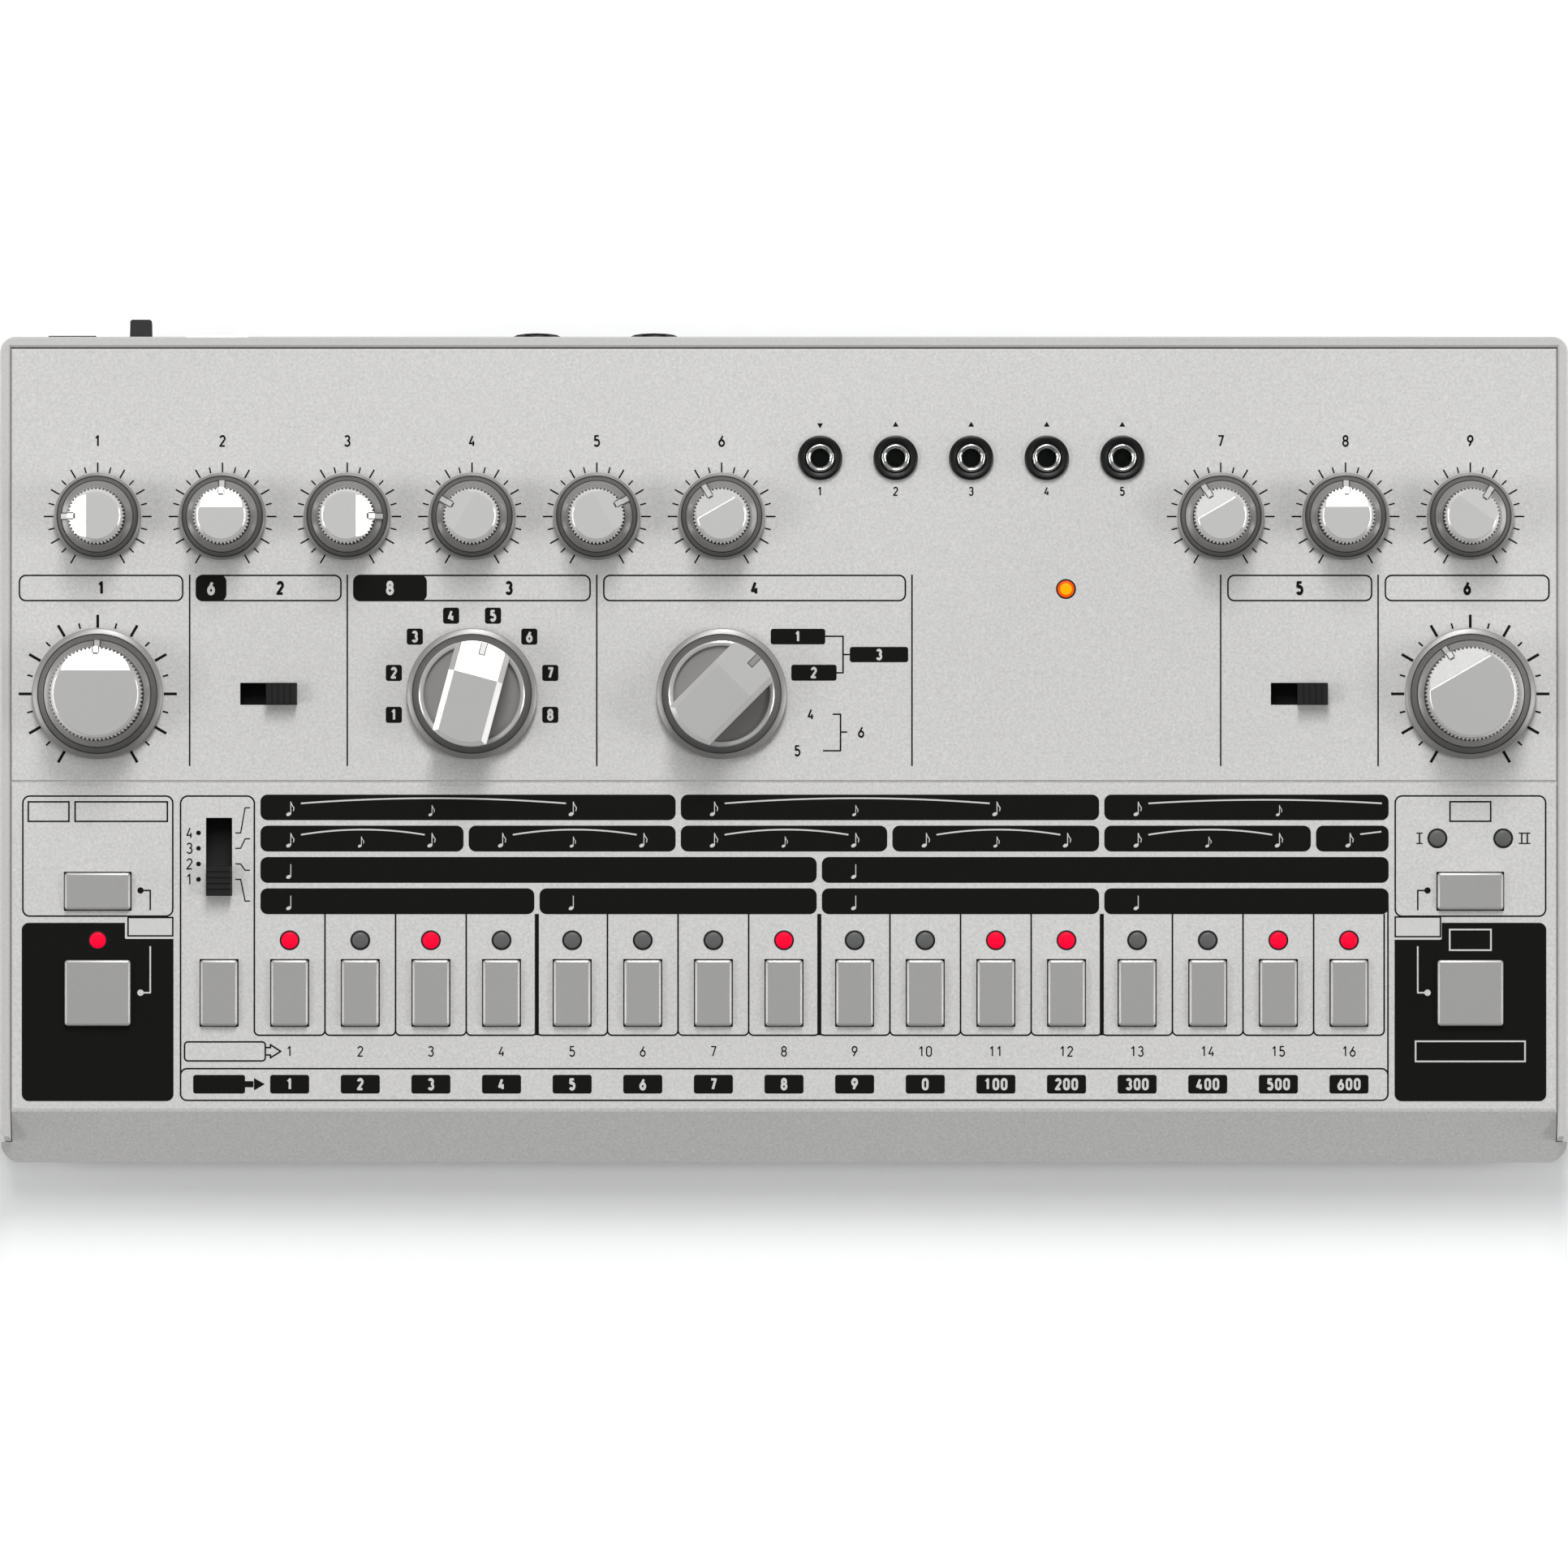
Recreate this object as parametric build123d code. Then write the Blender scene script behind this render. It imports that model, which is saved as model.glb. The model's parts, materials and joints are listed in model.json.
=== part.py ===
from build123d import *
import os
from math import acos, atan, ceil, cos, degrees, pi, radians, sin, tan

# Tabletop drum machine, in millimetres. X runs to the player's right, Y to the rear and Z up.
# The origin is on the table, under the middle of the overall footprint.
# Most round pieces and holes have flat sides, to keep the facets few, and every bore that takes a
# plug is truly round. Panel places are given as (u, v): u to the right from the middle of the panel,
# v up the slope from the crease between the panel and the front bevel. Heights over the panel are w.
# Columns are counted in pitches of the small knobs' row, 0 at its left end.

# ---- How far a flat side may lie inside the round that it stands for ----
ROUND_TOLERANCE = 0.16

# ---- Case ----
CASE_WIDTH = 305.0
CASE_DEPTH = 158.2
CORNER_RADIUS = 3.0
WALL = 2.0
PANEL_TILT = 7.0
CREASE_HEIGHT = 28.4
BEVEL_LENGTH = 13.7
BEVEL_DROP = 50.0
LIP_HEIGHT = 3.0
PLINTH_SETBACK = 2.5
RAIL_REACH = 5.4
EDGE_BREAK = 0.35
SEAM = 0.15
REAR_SEAM = 0.35
TONGUE_HEIGHT = 1.8
GROOVE_STEP = 17.3
GROOVE_WIDTH = 1.05
GROOVE_DEPTH = 0.5
FOOT_HEIGHT = 3.0
FOOT_RADIUS = 6.0
FOOT_INSET = 16.0

# ---- Screws and the posts they join ----
POST_RADIUS = 3.3
POST_INSET = 6.2
POST_FRONT_SETBACK = 18.5
POST_REAR_SETBACK = 35.7
BOSS_LENGTH = 8.0
SCREW_RADIUS = 1.5
SCREW_HEAD_RADIUS = 2.7
SCREW_WEB = 3.0
SCREW_BITE = 6.0
FIT = 0.05

# ---- Boards ----
BOARD_THICKNESS = 1.6
BOARD_DEPTH = 12.6
BOARD_END_CLEARANCE = 1.5
BOARD_FRONT = 6.0
BOARD_REAR_SETBACK = 14.15
BOARD_POST_SIZE = 4.0
BOARD_POST_EDGE = 3.0
BOARD_POST_REAR_STEP = 12.5
BOARD_POST_MIDDLE_STEP = 21.0
BOARD_POST_MIDDLE_COLUMN = 6.5
BOARD_POST_END_COLUMN = 0.5
JACK_BOARD_TOP = 16.0
JACK_BOARD_MARGIN = 6.9
JACK_BOARD_DEPTH = 27.0
RIB_THICKNESS = 2.0
RIB_LENGTH = 14.0

# ---- Knobs ----
KNOB_GAP = 0.6
POINTER_WIDTH = 1.1
SPINDLE_RADIUS = 3.0
SPINDLE_PLAY = 0.05
PANEL_HOLE_PLAY = 0.6
SMALL_KNOB_RADIUS = 8.45
SMALL_KNOB_HEIGHT = 13.0
SMALL_GRIP_RADIUS = 5.5
LARGE_KNOB_RADIUS = 12.7
LARGE_KNOB_HEIGHT = 15.0
LARGE_GRIP_RADIUS = 9.2
SKIRT_STEP = 0.6
SKIRT_HEIGHT = 1.9
FLARE_HEIGHT = 3.0
FLUTE_DEPTH = 0.35
SMALL_FLUTES = 12
LARGE_FLUTES = 16
SMALL_FACET_START = 1.8
LARGE_FACET_START = 4.5
FACET_SLOPE = 20.0
SELECTOR_BAR_WIDTH = 10.8
SELECTOR_BAR_TOP_WIDTH = 8.4
SELECTOR_BAR_REACH = 10.2
SELECTOR_DISC_HEIGHT = 4.6
SELECTOR_POCKET_RADIUS = 9.35
SELECTOR_POCKET_DEPTH = 1.0
SELECTOR_FACET_START = 3.6
SELECTOR_MARK_LENGTH = 2.4

# ---- The column of each knob, and where its pointer rests, in degrees clockwise from straight up ----
LAST_COLUMN = 11
SMALL_ROW_SETBACK = 32.65
LARGE_ROW_STEP = 34.5
SMALL_KNOBS = {
    "accent_knob": (0, -90.0),
    "bass_drum_knob": (1, 0.0),
    "snare_drum_knob": (2, 90.0),
    "tom_knob": (3, -60.0),
    "cymbal_knob": (4, 60.0),
    "hihat_knob": (5, -30.0),
    "distortion_knob": (9, -30.0),
    "tone_knob": (10, 0.0),
    "level_knob": (11, 36.0),
}
LARGE_KNOBS = {"tempo_knob": (0, 0.0), "volume_knob": (LAST_COLUMN, -30.0)}
SELECTORS = {"instrument_selector": (3, 15.0), "mode_selector": (5, 45.0)}

# ---- Potentiometers and rotary switches ----
POT_SIZE = 10.0
POT_HEIGHT = 6.5
LARGE_POT_SIZE = 16.0
LARGE_POT_HEIGHT = 8.0
ROTARY_SIZE = 17.0
ROTARY_HEIGHT = 8.5
SPINDLE_SEAT = 4.0

# ---- Push buttons ----
BUTTON_WIDTH = 7.2
BUTTON_LENGTH = 12.8
BUTTON_PLAY = 0.2
BUTTON_HEIGHT = 1.5
BUTTON_EDGE = 0.45
BUTTON_TRAVEL = 0.6
BUTTON_RIM = 0.8
BUTTON_RIM_THICKNESS = 1.0
STEM_SIZE = 3.0
SWITCH_SIZE = 6.0
SWITCH_HEIGHT = 5.0
STEM_GAP = 0.05
STEP_ROW = 22.83
STEP_END_GAP = 23.6
STEP_COUNT = 16
CLEAR_ROW_STEP = 19.77

# ---- Lamps ----
LAMP_RADIUS = 1.7
LAMP_HEIGHT = 0.3
LAMP_ROW_STEP = 10.24
LIT_STEPS = (1, 3, 8, 11, 12, 15, 16)
GROUP_LAMP_SPREAD = 6.4
GROUP_LAMP_STEP = 10.3
TEMPO_LAMP_COLUMN = 7.76
TEMPO_LAMP_STEP = 20.4

# ---- Slide switches on the panel ----
SLIDE_SLOT_LENGTH = 11.1
SLIDE_SLOT_WIDTH = 4.3
SLIDE_CAP_LENGTH = 5.9
SLIDE_TRAVEL = 5.0
SCALE_SLOT_LENGTH = 15.2
SCALE_SLOT_WIDTH = 5.1
SCALE_CAP_LENGTH = 5.7
SCALE_TRAVEL = 9.06
SLIDE_CAP_HEIGHT = 3.6
SLIDE_CAP_PLAY = 0.15
SLIDE_RIBS = 5
SLIDE_RIB_DEPTH = 0.35
SLIDE_BODY_WALL = 1.4
SLIDE_BODY_HEIGHT = 6.0
SLIDE_FOOT_DIP = 1.5
SLIDE_COLUMN = 1.37
SCALE_SLIDE_STEP = 6.7

# ---- 3.5 mm jacks on the panel ----
PANEL_JACK_ROW_STEP = 11.4
PANEL_JACK_END_GAP = 19.15
PANEL_JACK_COUNT = 5
MINI_BORE_RADIUS = 1.775
SLEEVE_RADIUS = 2.7
SLEEVE_HEIGHT = 1.4
RING_RADIUS = 4.33
RING_HEIGHT = 1.1
JACK_BODY_WIDTH = 9.0
JACK_BODY_LENGTH = 10.4

# ---- Rear connectors. A step is the distance of a connector from the one to its left ----
REAR_PLAY = 0.2
BODY_BACKSET = 0.1
MINI_JACK_STEP = 17.8
MINI_JACK_PITCH = 12.7
MINI_JACK_COUNT = 6
MINI_JACK_AXIS = 5.5
MINI_JACK_WIDTH = 10.4
MINI_JACK_HEIGHT = 10.5
MINI_JACK_DEPTH = 12.5
MINI_NOSE_RADIUS = 2.9
MINI_NOSE_REACH = 3.1
PLUG_DEPTH = 14.0
PHONE_JACK_STEP = 19.2
PHONE_JACK_PITCH = 22.9
PHONE_JACK_AXIS = 6.3
PHONE_JACK_WIDTH = 15.6
PHONE_JACK_HEIGHT = 12.4
PHONE_JACK_DEPTH = 25.0
PHONE_BORE_RADIUS = 3.2
PHONE_PLUG_DEPTH = 26.0
PHONE_BUSH_RADIUS = 4.55
PHONE_BUSH_REACH = 3.5
PHONE_NUT_RADIUS = 5.2
PHONE_NUT_REACH = 3.0
MIDI_STEP = 19.3
MIDI_PITCH = 24.0
MIDI_AXIS = 10.0
MIDI_BODY = 19.0
MIDI_DEPTH = 12.0
MIDI_COLLAR_RADIUS = 7.7
MIDI_RECESS_RADIUS = 6.7
MIDI_RECESS_DEPTH = 9.0
USB_STEP = 15.0
USB_WIDTH = 12.0
USB_HEIGHT = 10.9
USB_DEPTH = 14.0
USB_REACH = 3.05
USB_OPENING_WIDTH = 8.9
USB_OPENING_HEIGHT = 7.8
USB_OPENING_DEPTH = 9.0
POWER_SOCKET_INSET = 13.4
POWER_SOCKET_WIDTH = 9.3
POWER_SOCKET_HEIGHT = 11.0
POWER_SOCKET_DEPTH = 12.0
POWER_SOCKET_REACH = 3.0
POWER_SOCKET_BORE = 2.9
POWER_BORE_DEPTH = 9.0
POWER_PIN_RADIUS = 1.0
SWITCH_STEP = 13.3
SWITCH_AXIS = 5.0
SWITCH_LEVER_WIDTH = 4.6
SWITCH_LEVER_HEIGHT = 4.0
SWITCH_LEVER_TIP = 4.2
SWITCH_LEVER_REACH = 6.8
SWITCH_TRAVEL = 4.0
SWITCH_BODY_HEIGHT = 8.0
SWITCH_BODY_DEPTH = 8.0
SWITCH_BODY_WALL = 1.5
SWITCH_FOOT_DIP = 2.0

# ---- Worked out from the sizes above ----
FRONT_Y = -(CASE_DEPTH + SWITCH_LEVER_REACH) / 2
REAR_Y = FRONT_Y + CASE_DEPTH
REAR_WALL_Y = REAR_Y - WALL
PLINTH_Y = FRONT_Y + PLINTH_SETBACK
CREASE_Y = FRONT_Y + BEVEL_LENGTH * cos(radians(BEVEL_DROP))
LIP_TOP = CREASE_HEIGHT - BEVEL_LENGTH * sin(radians(BEVEL_DROP))
LIP_BOTTOM = LIP_TOP - LIP_HEIGHT
SEAM_HEIGHT = LIP_BOTTOM - SEAM
BASE_Z = FOOT_HEIGHT
FLOOR_Z = BASE_Z + WALL
INNER_HALF = CASE_WIDTH / 2 - WALL
PANEL_HALF = INNER_HALF - SEAM
POST_X = CASE_WIDTH / 2 - POST_INSET
TILT_SIN = sin(radians(PANEL_TILT))
TILT_COS = cos(radians(PANEL_TILT))
RAIL_END_Y = CREASE_Y - RAIL_REACH * TILT_COS
PANEL_REAR = (REAR_WALL_Y - CREASE_Y) / TILT_COS - REAR_SEAM
PANEL = Plane((0, CREASE_Y, CREASE_HEIGHT), x_dir=(1, 0, 0), z_dir=(0, -TILT_SIN, TILT_COS))
BEYOND = 40.0
POST_FRONT = FRONT_Y + POST_FRONT_SETBACK
POST_REAR = REAR_Y - POST_REAR_SETBACK
BOARD_HALF_WIDTH = POST_X - POST_RADIUS - BOARD_END_CLEARANCE
BOARD_REAR = PANEL_REAR - BOARD_REAR_SETBACK
OUTER_COLUMN = BOARD_HALF_WIDTH - LARGE_POT_SIZE / 2
COLUMN_PITCH = 2 * OUTER_COLUMN / LAST_COLUMN
SMALL_KNOB_ROW = PANEL_REAR - SMALL_ROW_SETBACK
LARGE_KNOB_ROW = SMALL_KNOB_ROW - LARGE_ROW_STEP
PANEL_JACK_ROW = SMALL_KNOB_ROW + PANEL_JACK_ROW_STEP
STEP_SPAN = OUTER_COLUMN - STEP_END_GAP
STEP_PITCH = 2 * STEP_SPAN / STEP_COUNT
LAMP_ROW = STEP_ROW + LAMP_ROW_STEP
CLEAR_ROW = STEP_ROW + CLEAR_ROW_STEP
GROUP_LAMP_ROW = CLEAR_ROW + GROUP_LAMP_STEP
GROOVE_CENTRE = LARGE_KNOB_ROW - GROOVE_STEP
POWER_SOCKET_PLACE = -CASE_WIDTH / 2 + POWER_SOCKET_INSET
SWITCH_PLACE = POWER_SOCKET_PLACE + SWITCH_STEP
USB_PLACE = SWITCH_PLACE + USB_STEP
MIDI_PLACES = (USB_PLACE + MIDI_STEP, USB_PLACE + MIDI_STEP + MIDI_PITCH)
PHONE_JACK_PLACES = (MIDI_PLACES[1] + PHONE_JACK_STEP, MIDI_PLACES[1] + PHONE_JACK_STEP + PHONE_JACK_PITCH)
MINI_JACK_FIRST = PHONE_JACK_PLACES[1] + MINI_JACK_STEP
MINI_JACKS = [MINI_JACK_FIRST + i * MINI_JACK_PITCH for i in range(MINI_JACK_COUNT)]
JACK_BOARD_LEFT = POWER_SOCKET_PLACE - JACK_BOARD_MARGIN
JACK_BOARD_RIGHT = MINI_JACKS[-1] + JACK_BOARD_MARGIN


def place(u, v, w=0.0, turn=0.0):
    """A place on the panel, turned clockwise by the given degrees as seen from above."""
    return PANEL.location * Location((u, v, w), (0, 0, -turn))


def slope(v, w=0.0):
    """The Y and Z of a point of the panel's side view."""
    return (CREASE_Y + v * TILT_COS - w * TILT_SIN, CREASE_HEIGHT + v * TILT_SIN + w * TILT_COS)


def side_prism(points, low_x, high_x):
    """A prism with an outline drawn in the side view, from one X to another."""
    flat = Plane.YZ * Polygon(*points, align=None)
    return Pos(low_x, 0, 0) * extrude(flat, high_x - low_x)


def block(low, high):
    """A box between two corners."""
    size = [b - a for a, b in zip(low, high)]
    return Pos(*low) * Box(*size, align=(Align.MIN, Align.MIN, Align.MIN))


def flat_sides(radius):
    """How many flat sides stand for a round of the given radius."""
    return 4 * ceil(pi / acos(1 - ROUND_TOLERANCE / radius) / 4)


def rod(radius, low, high):
    """An upright round piece with flat sides, all of it inside the given radius."""
    return Pos(0, 0, low) * extrude(RegularPolygon(radius, flat_sides(radius)), high - low)


def hole(radius, low, high):
    """A tool for an upright round hole with flat sides, none of them inside the given radius."""
    outline = RegularPolygon(radius, flat_sides(radius), major_radius=False)
    return Pos(0, 0, low) * extrude(outline, high - low)


def bore(radius, low, high):
    """A tool for a truly round upright hole."""
    return Pos(0, 0, low) * Cylinder(radius, high - low, align=(Align.CENTER, Align.CENTER, Align.MIN))


def post(size_x, size_y, low, high):
    """An upright square post between two heights."""
    return Pos(0, 0, low) * Box(size_x, size_y, high - low, align=(Align.CENTER, Align.CENTER, Align.MIN))


def rearward(x, z, start_y):
    """A place at the rear wall whose own Z runs to the rear and whose own Y runs up."""
    return Plane((x, start_y, z), x_dir=(-1, 0, 0), z_dir=(0, 1, 0)).location


def footprint(front_y, low, high):
    """The rounded footprint of the case, as a tall block."""
    depth = REAR_Y - front_y
    outline = RectangleRounded(CASE_WIDTH, depth, CORNER_RADIUS)
    return Pos(0, front_y + depth / 2, low) * extrude(outline, high - low)


def column_u(column):
    """The u of a column, or of a place between two columns."""
    return -OUTER_COLUMN + column * COLUMN_PITCH


def knob_places(knobs, row):
    """The place of each knob of a row."""
    return {name: (column_u(column), row) for name, (column, _) in knobs.items()}


def step_u(step):
    """The u of a step button, counted from 1. At 0 stands the function button."""
    return -STEP_SPAN + step * STEP_PITCH


# ---- The places that the panel, its holes and the pieces behind it share ----
STEPS = range(1, STEP_COUNT + 1)
SMALL_PLACES = knob_places(SMALL_KNOBS, SMALL_KNOB_ROW)
LARGE_PLACES = knob_places(LARGE_KNOBS, LARGE_KNOB_ROW)
SELECTOR_PLACES = knob_places(SELECTORS, LARGE_KNOB_ROW)
BUTTONS = {f"step_button_{step:02d}": (step_u(step), STEP_ROW, BUTTON_WIDTH) for step in STEPS}
BUTTONS["function_button"] = (step_u(0), STEP_ROW, BUTTON_WIDTH)
BUTTONS["start_button"] = (-OUTER_COLUMN, STEP_ROW, BUTTON_LENGTH)
BUTTONS["write_button"] = (OUTER_COLUMN, STEP_ROW, BUTTON_LENGTH)
FLAT_BUTTONS = {
    "clear_button": (-OUTER_COLUMN, CLEAR_ROW),
    "group_button": (OUTER_COLUMN, CLEAR_ROW),
}
BUTTON_SHAPES = {name: (u, v, width, BUTTON_LENGTH) for name, (u, v, width) in BUTTONS.items()}
for name, (u, v) in FLAT_BUTTONS.items():
    BUTTON_SHAPES[name] = (u, v, BUTTON_LENGTH, BUTTON_WIDTH)
STEP_LAMPS = {step: (step_u(step), LAMP_ROW) for step in STEPS}
START_LAMP = (-OUTER_COLUMN, LAMP_ROW)
RED_LAMPS = [STEP_LAMPS[step] for step in LIT_STEPS] + [START_LAMP]
GROUP_LAMPS = [(OUTER_COLUMN + side * GROUP_LAMP_SPREAD, GROUP_LAMP_ROW) for side in (-1, 1)]
UNLIT_LAMPS = [spot for step, spot in STEP_LAMPS.items() if step not in LIT_STEPS] + GROUP_LAMPS
TEMPO_LAMP_PLACE = (column_u(TEMPO_LAMP_COLUMN), LARGE_KNOB_ROW + TEMPO_LAMP_STEP)
# The panel jacks fill the gap in the small knobs' row.
JACKS_FROM = SMALL_PLACES["hihat_knob"][0] + PANEL_JACK_END_GAP
JACKS_TO = SMALL_PLACES["distortion_knob"][0] - PANEL_JACK_END_GAP
PANEL_JACK_PITCH = (JACKS_TO - JACKS_FROM) / (PANEL_JACK_COUNT - 1)
PANEL_JACKS = [(JACKS_FROM + i * PANEL_JACK_PITCH, PANEL_JACK_ROW) for i in range(PANEL_JACK_COUNT)]
# Each slide switch: its place, its slot along and across the travel, its cap, its travel and its turn.
SHORT_SLIDE = (SLIDE_SLOT_LENGTH, SLIDE_SLOT_WIDTH, SLIDE_CAP_LENGTH, SLIDE_TRAVEL, 180.0)
SCALE_SLIDE = (SCALE_SLOT_LENGTH, SCALE_SLOT_WIDTH, SCALE_CAP_LENGTH, SCALE_TRAVEL, -90.0)
SLIDES = {
    "select_slide": ((column_u(SLIDE_COLUMN), LARGE_KNOB_ROW), *SHORT_SLIDE),
    "distortion_slide": ((column_u(LAST_COLUMN - SLIDE_COLUMN), LARGE_KNOB_ROW), *SHORT_SLIDE),
    "scale_slide": ((step_u(0), CLEAR_ROW + SCALE_SLIDE_STEP), *SCALE_SLIDE),
}
POSTS = [(side * POST_X, y) for side in (-1, 1) for y in (POST_FRONT, POST_REAR)]
BOARD_POST_ENDS = [column_u(BOARD_POST_END_COLUMN), column_u(LAST_COLUMN - BOARD_POST_END_COLUMN)]
BOARD_POSTS = [(u, BOARD_FRONT + BOARD_POST_EDGE) for u in BOARD_POST_ENDS]
BOARD_POSTS += [(u, SMALL_KNOB_ROW - BOARD_POST_REAR_STEP) for u in BOARD_POST_ENDS]
BOARD_POSTS.append((column_u(BOARD_POST_MIDDLE_COLUMN), LARGE_KNOB_ROW - BOARD_POST_MIDDLE_STEP))


def panel_underside(y):
    """The height of the panel's underside over a place on the floor."""
    return CREASE_HEIGHT + (y - CREASE_Y) * tan(radians(PANEL_TILT)) - WALL / TILT_COS


def joint_height(y):
    """Where a post of the bottom case meets its boss under the panel."""
    return panel_underside(y) - BOSS_LENGTH


def top_edges(solid):
    """The edges of a shell that lie in the panel's own plane."""
    def height(point):
        return abs((point - Vector(0, CREASE_Y, CREASE_HEIGHT)).dot(PANEL.z_dir))
    return [edge for edge in solid.edges() if max(height(edge @ at) for at in (0, 0.5, 1)) < 0.001]


def make_bottom_case():
    """The tub: floor, walls that rise as a rim round the panel, plinth, posts and connector holes."""
    rim_rear = (REAR_Y, CREASE_HEIGHT + (REAR_Y - CREASE_Y) * tan(radians(PANEL_TILT)))
    outline = [
        (PLINTH_Y, BASE_Z),
        (REAR_Y, BASE_Z),
        rim_rear,
        slope(-RAIL_REACH),
        (RAIL_END_Y, SEAM_HEIGHT),
        (PLINTH_Y, SEAM_HEIGHT),
    ]
    half = CASE_WIDTH / 2
    tub = side_prism(outline, -half, half) & footprint(PLINTH_Y, 0, rim_rear[1] + BEYOND)
    hollow = block((-INNER_HALF, PLINTH_Y + WALL, FLOOR_Z), (INNER_HALF, REAR_WALL_Y, rim_rear[1] + BEYOND))
    mouth_low = (-INNER_HALF, PLINTH_Y - WALL, SEAM_HEIGHT)
    mouth = block(mouth_low, (INNER_HALF, PLINTH_Y + 2 * WALL, CREASE_HEIGHT))
    tub -= hollow
    tub -= mouth
    tub = chamfer(top_edges(tub), EDGE_BREAK)
    tongue_low = (-PANEL_HALF + SEAM, PLINTH_Y, SEAM_HEIGHT - WALL)
    tub += block(tongue_low, (PANEL_HALF - SEAM, PLINTH_Y + WALL, SEAM_HEIGHT + TONGUE_HEIGHT))
    for x, y in POSTS:
        top = joint_height(y)
        seat = top - SCREW_WEB
        tub += Pos(x, y, 0) * rod(POST_RADIUS, BASE_Z + WALL / 2, top)
        tub -= Pos(x, y, 0) * hole(SCREW_HEAD_RADIUS, 0, seat)
        tub -= Pos(x, y, 0) * hole(SCREW_RADIUS, 0, top + 1)
    rib_low = JACK_BOARD_LEFT + RIB_THICKNESS
    rib_high = JACK_BOARD_RIGHT - RIB_THICKNESS
    board_bottom = JACK_BOARD_TOP - BOARD_THICKNESS
    for x in (rib_low, (rib_low + rib_high) / 2, rib_high):
        low = (x - RIB_THICKNESS / 2, REAR_WALL_Y - RIB_LENGTH, BASE_Z + WALL / 2)
        tub += block(low, (x + RIB_THICKNESS / 2, REAR_WALL_Y + WALL / 2, board_bottom))
    return tub - rear_openings()


def rear_openings():
    """What is cut out of the rear wall for the connectors and the power switch."""
    depth = 3 * WALL
    start = REAR_WALL_Y - WALL
    cuts = []
    for x in MINI_JACKS:
        window = hole(MINI_NOSE_RADIUS + REAR_PLAY, 0, depth)
        cuts.append(rearward(x, JACK_BOARD_TOP + MINI_JACK_AXIS, start) * window)
    for x in PHONE_JACK_PLACES:
        window = hole(PHONE_BUSH_RADIUS + REAR_PLAY, 0, depth)
        cuts.append(rearward(x, JACK_BOARD_TOP + PHONE_JACK_AXIS, start) * window)
    for x in MIDI_PLACES:
        window = hole(MIDI_COLLAR_RADIUS + REAR_PLAY, 0, depth)
        cuts.append(rearward(x, JACK_BOARD_TOP + MIDI_AXIS, start) * window)
    window = post(USB_WIDTH + 2 * REAR_PLAY, USB_HEIGHT + 2 * REAR_PLAY, 0, depth)
    cuts.append(rearward(USB_PLACE, JACK_BOARD_TOP + USB_HEIGHT / 2, start) * window)
    window = post(POWER_SOCKET_WIDTH + 2 * REAR_PLAY, POWER_SOCKET_HEIGHT + 2 * REAR_PLAY, 0, depth)
    cuts.append(rearward(POWER_SOCKET_PLACE, JACK_BOARD_TOP + POWER_SOCKET_HEIGHT / 2, start) * window)
    slot_width = SWITCH_LEVER_WIDTH + SWITCH_TRAVEL + 2 * REAR_PLAY
    window = post(slot_width, SWITCH_LEVER_HEIGHT + 2 * REAR_PLAY, 0, depth)
    middle = SWITCH_PLACE + SWITCH_TRAVEL / 2
    cuts.append(rearward(middle, JACK_BOARD_TOP + SWITCH_AXIS, start) * window)
    return cuts


def make_top_panel():
    """Plate, bevel and lip as one bent wall, with solid end cheeks in front of the rails."""
    crease_turn = radians(BEVEL_DROP - PANEL_TILT) / 2
    lip_turn = radians(90 - BEVEL_DROP) / 2
    bent_wall = [
        slope(PANEL_REAR + BEYOND),
        slope(0),
        (FRONT_Y, LIP_TOP),
        (FRONT_Y, LIP_BOTTOM),
        (FRONT_Y + WALL, LIP_BOTTOM),
        (FRONT_Y + WALL, LIP_TOP - WALL * tan(lip_turn)),
        slope(WALL * tan(crease_turn), -WALL),
        slope(PANEL_REAR + BEYOND, -WALL),
    ]
    cheek_y = RAIL_END_Y - SEAM
    cheek_top = LIP_TOP + (cheek_y - FRONT_Y) * tan(radians(BEVEL_DROP))
    cheek = [(cheek_y, cheek_top), (FRONT_Y, LIP_TOP), (FRONT_Y, LIP_BOTTOM), (cheek_y, LIP_BOTTOM)]
    half = CASE_WIDTH / 2
    panel = side_prism(bent_wall, -PANEL_HALF, PANEL_HALF)
    panel -= place(0, PANEL_REAR) * block((-half, 0, -BEYOND), (half, 2 * BEYOND, BEYOND))
    panel = chamfer(top_edges(panel), EDGE_BREAK)
    panel += side_prism(cheek, -half, -PANEL_HALF)
    panel += side_prism(cheek, PANEL_HALF, half)
    panel &= footprint(FRONT_Y, 0, CREASE_HEIGHT + BEYOND)
    groove_low = (-half, GROOVE_CENTRE - GROOVE_WIDTH / 2, -GROOVE_DEPTH)
    panel -= place(0, 0) * block(groove_low, (half, GROOVE_CENTRE + GROOVE_WIDTH / 2, WALL))
    for u, v in BOARD_POSTS:
        panel += place(u, v) * post(BOARD_POST_SIZE, BOARD_POST_SIZE, -BOARD_DEPTH, -WALL / 2)
    for x, y in POSTS:
        top = panel_underside(y) + WALL / 2
        panel += Pos(x, y, 0) * rod(POST_RADIUS, joint_height(y), top)
        panel -= Pos(x, y, 0) * hole(SCREW_RADIUS, 0, joint_height(y) + SCREW_BITE)
    return panel - panel_holes()


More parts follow.
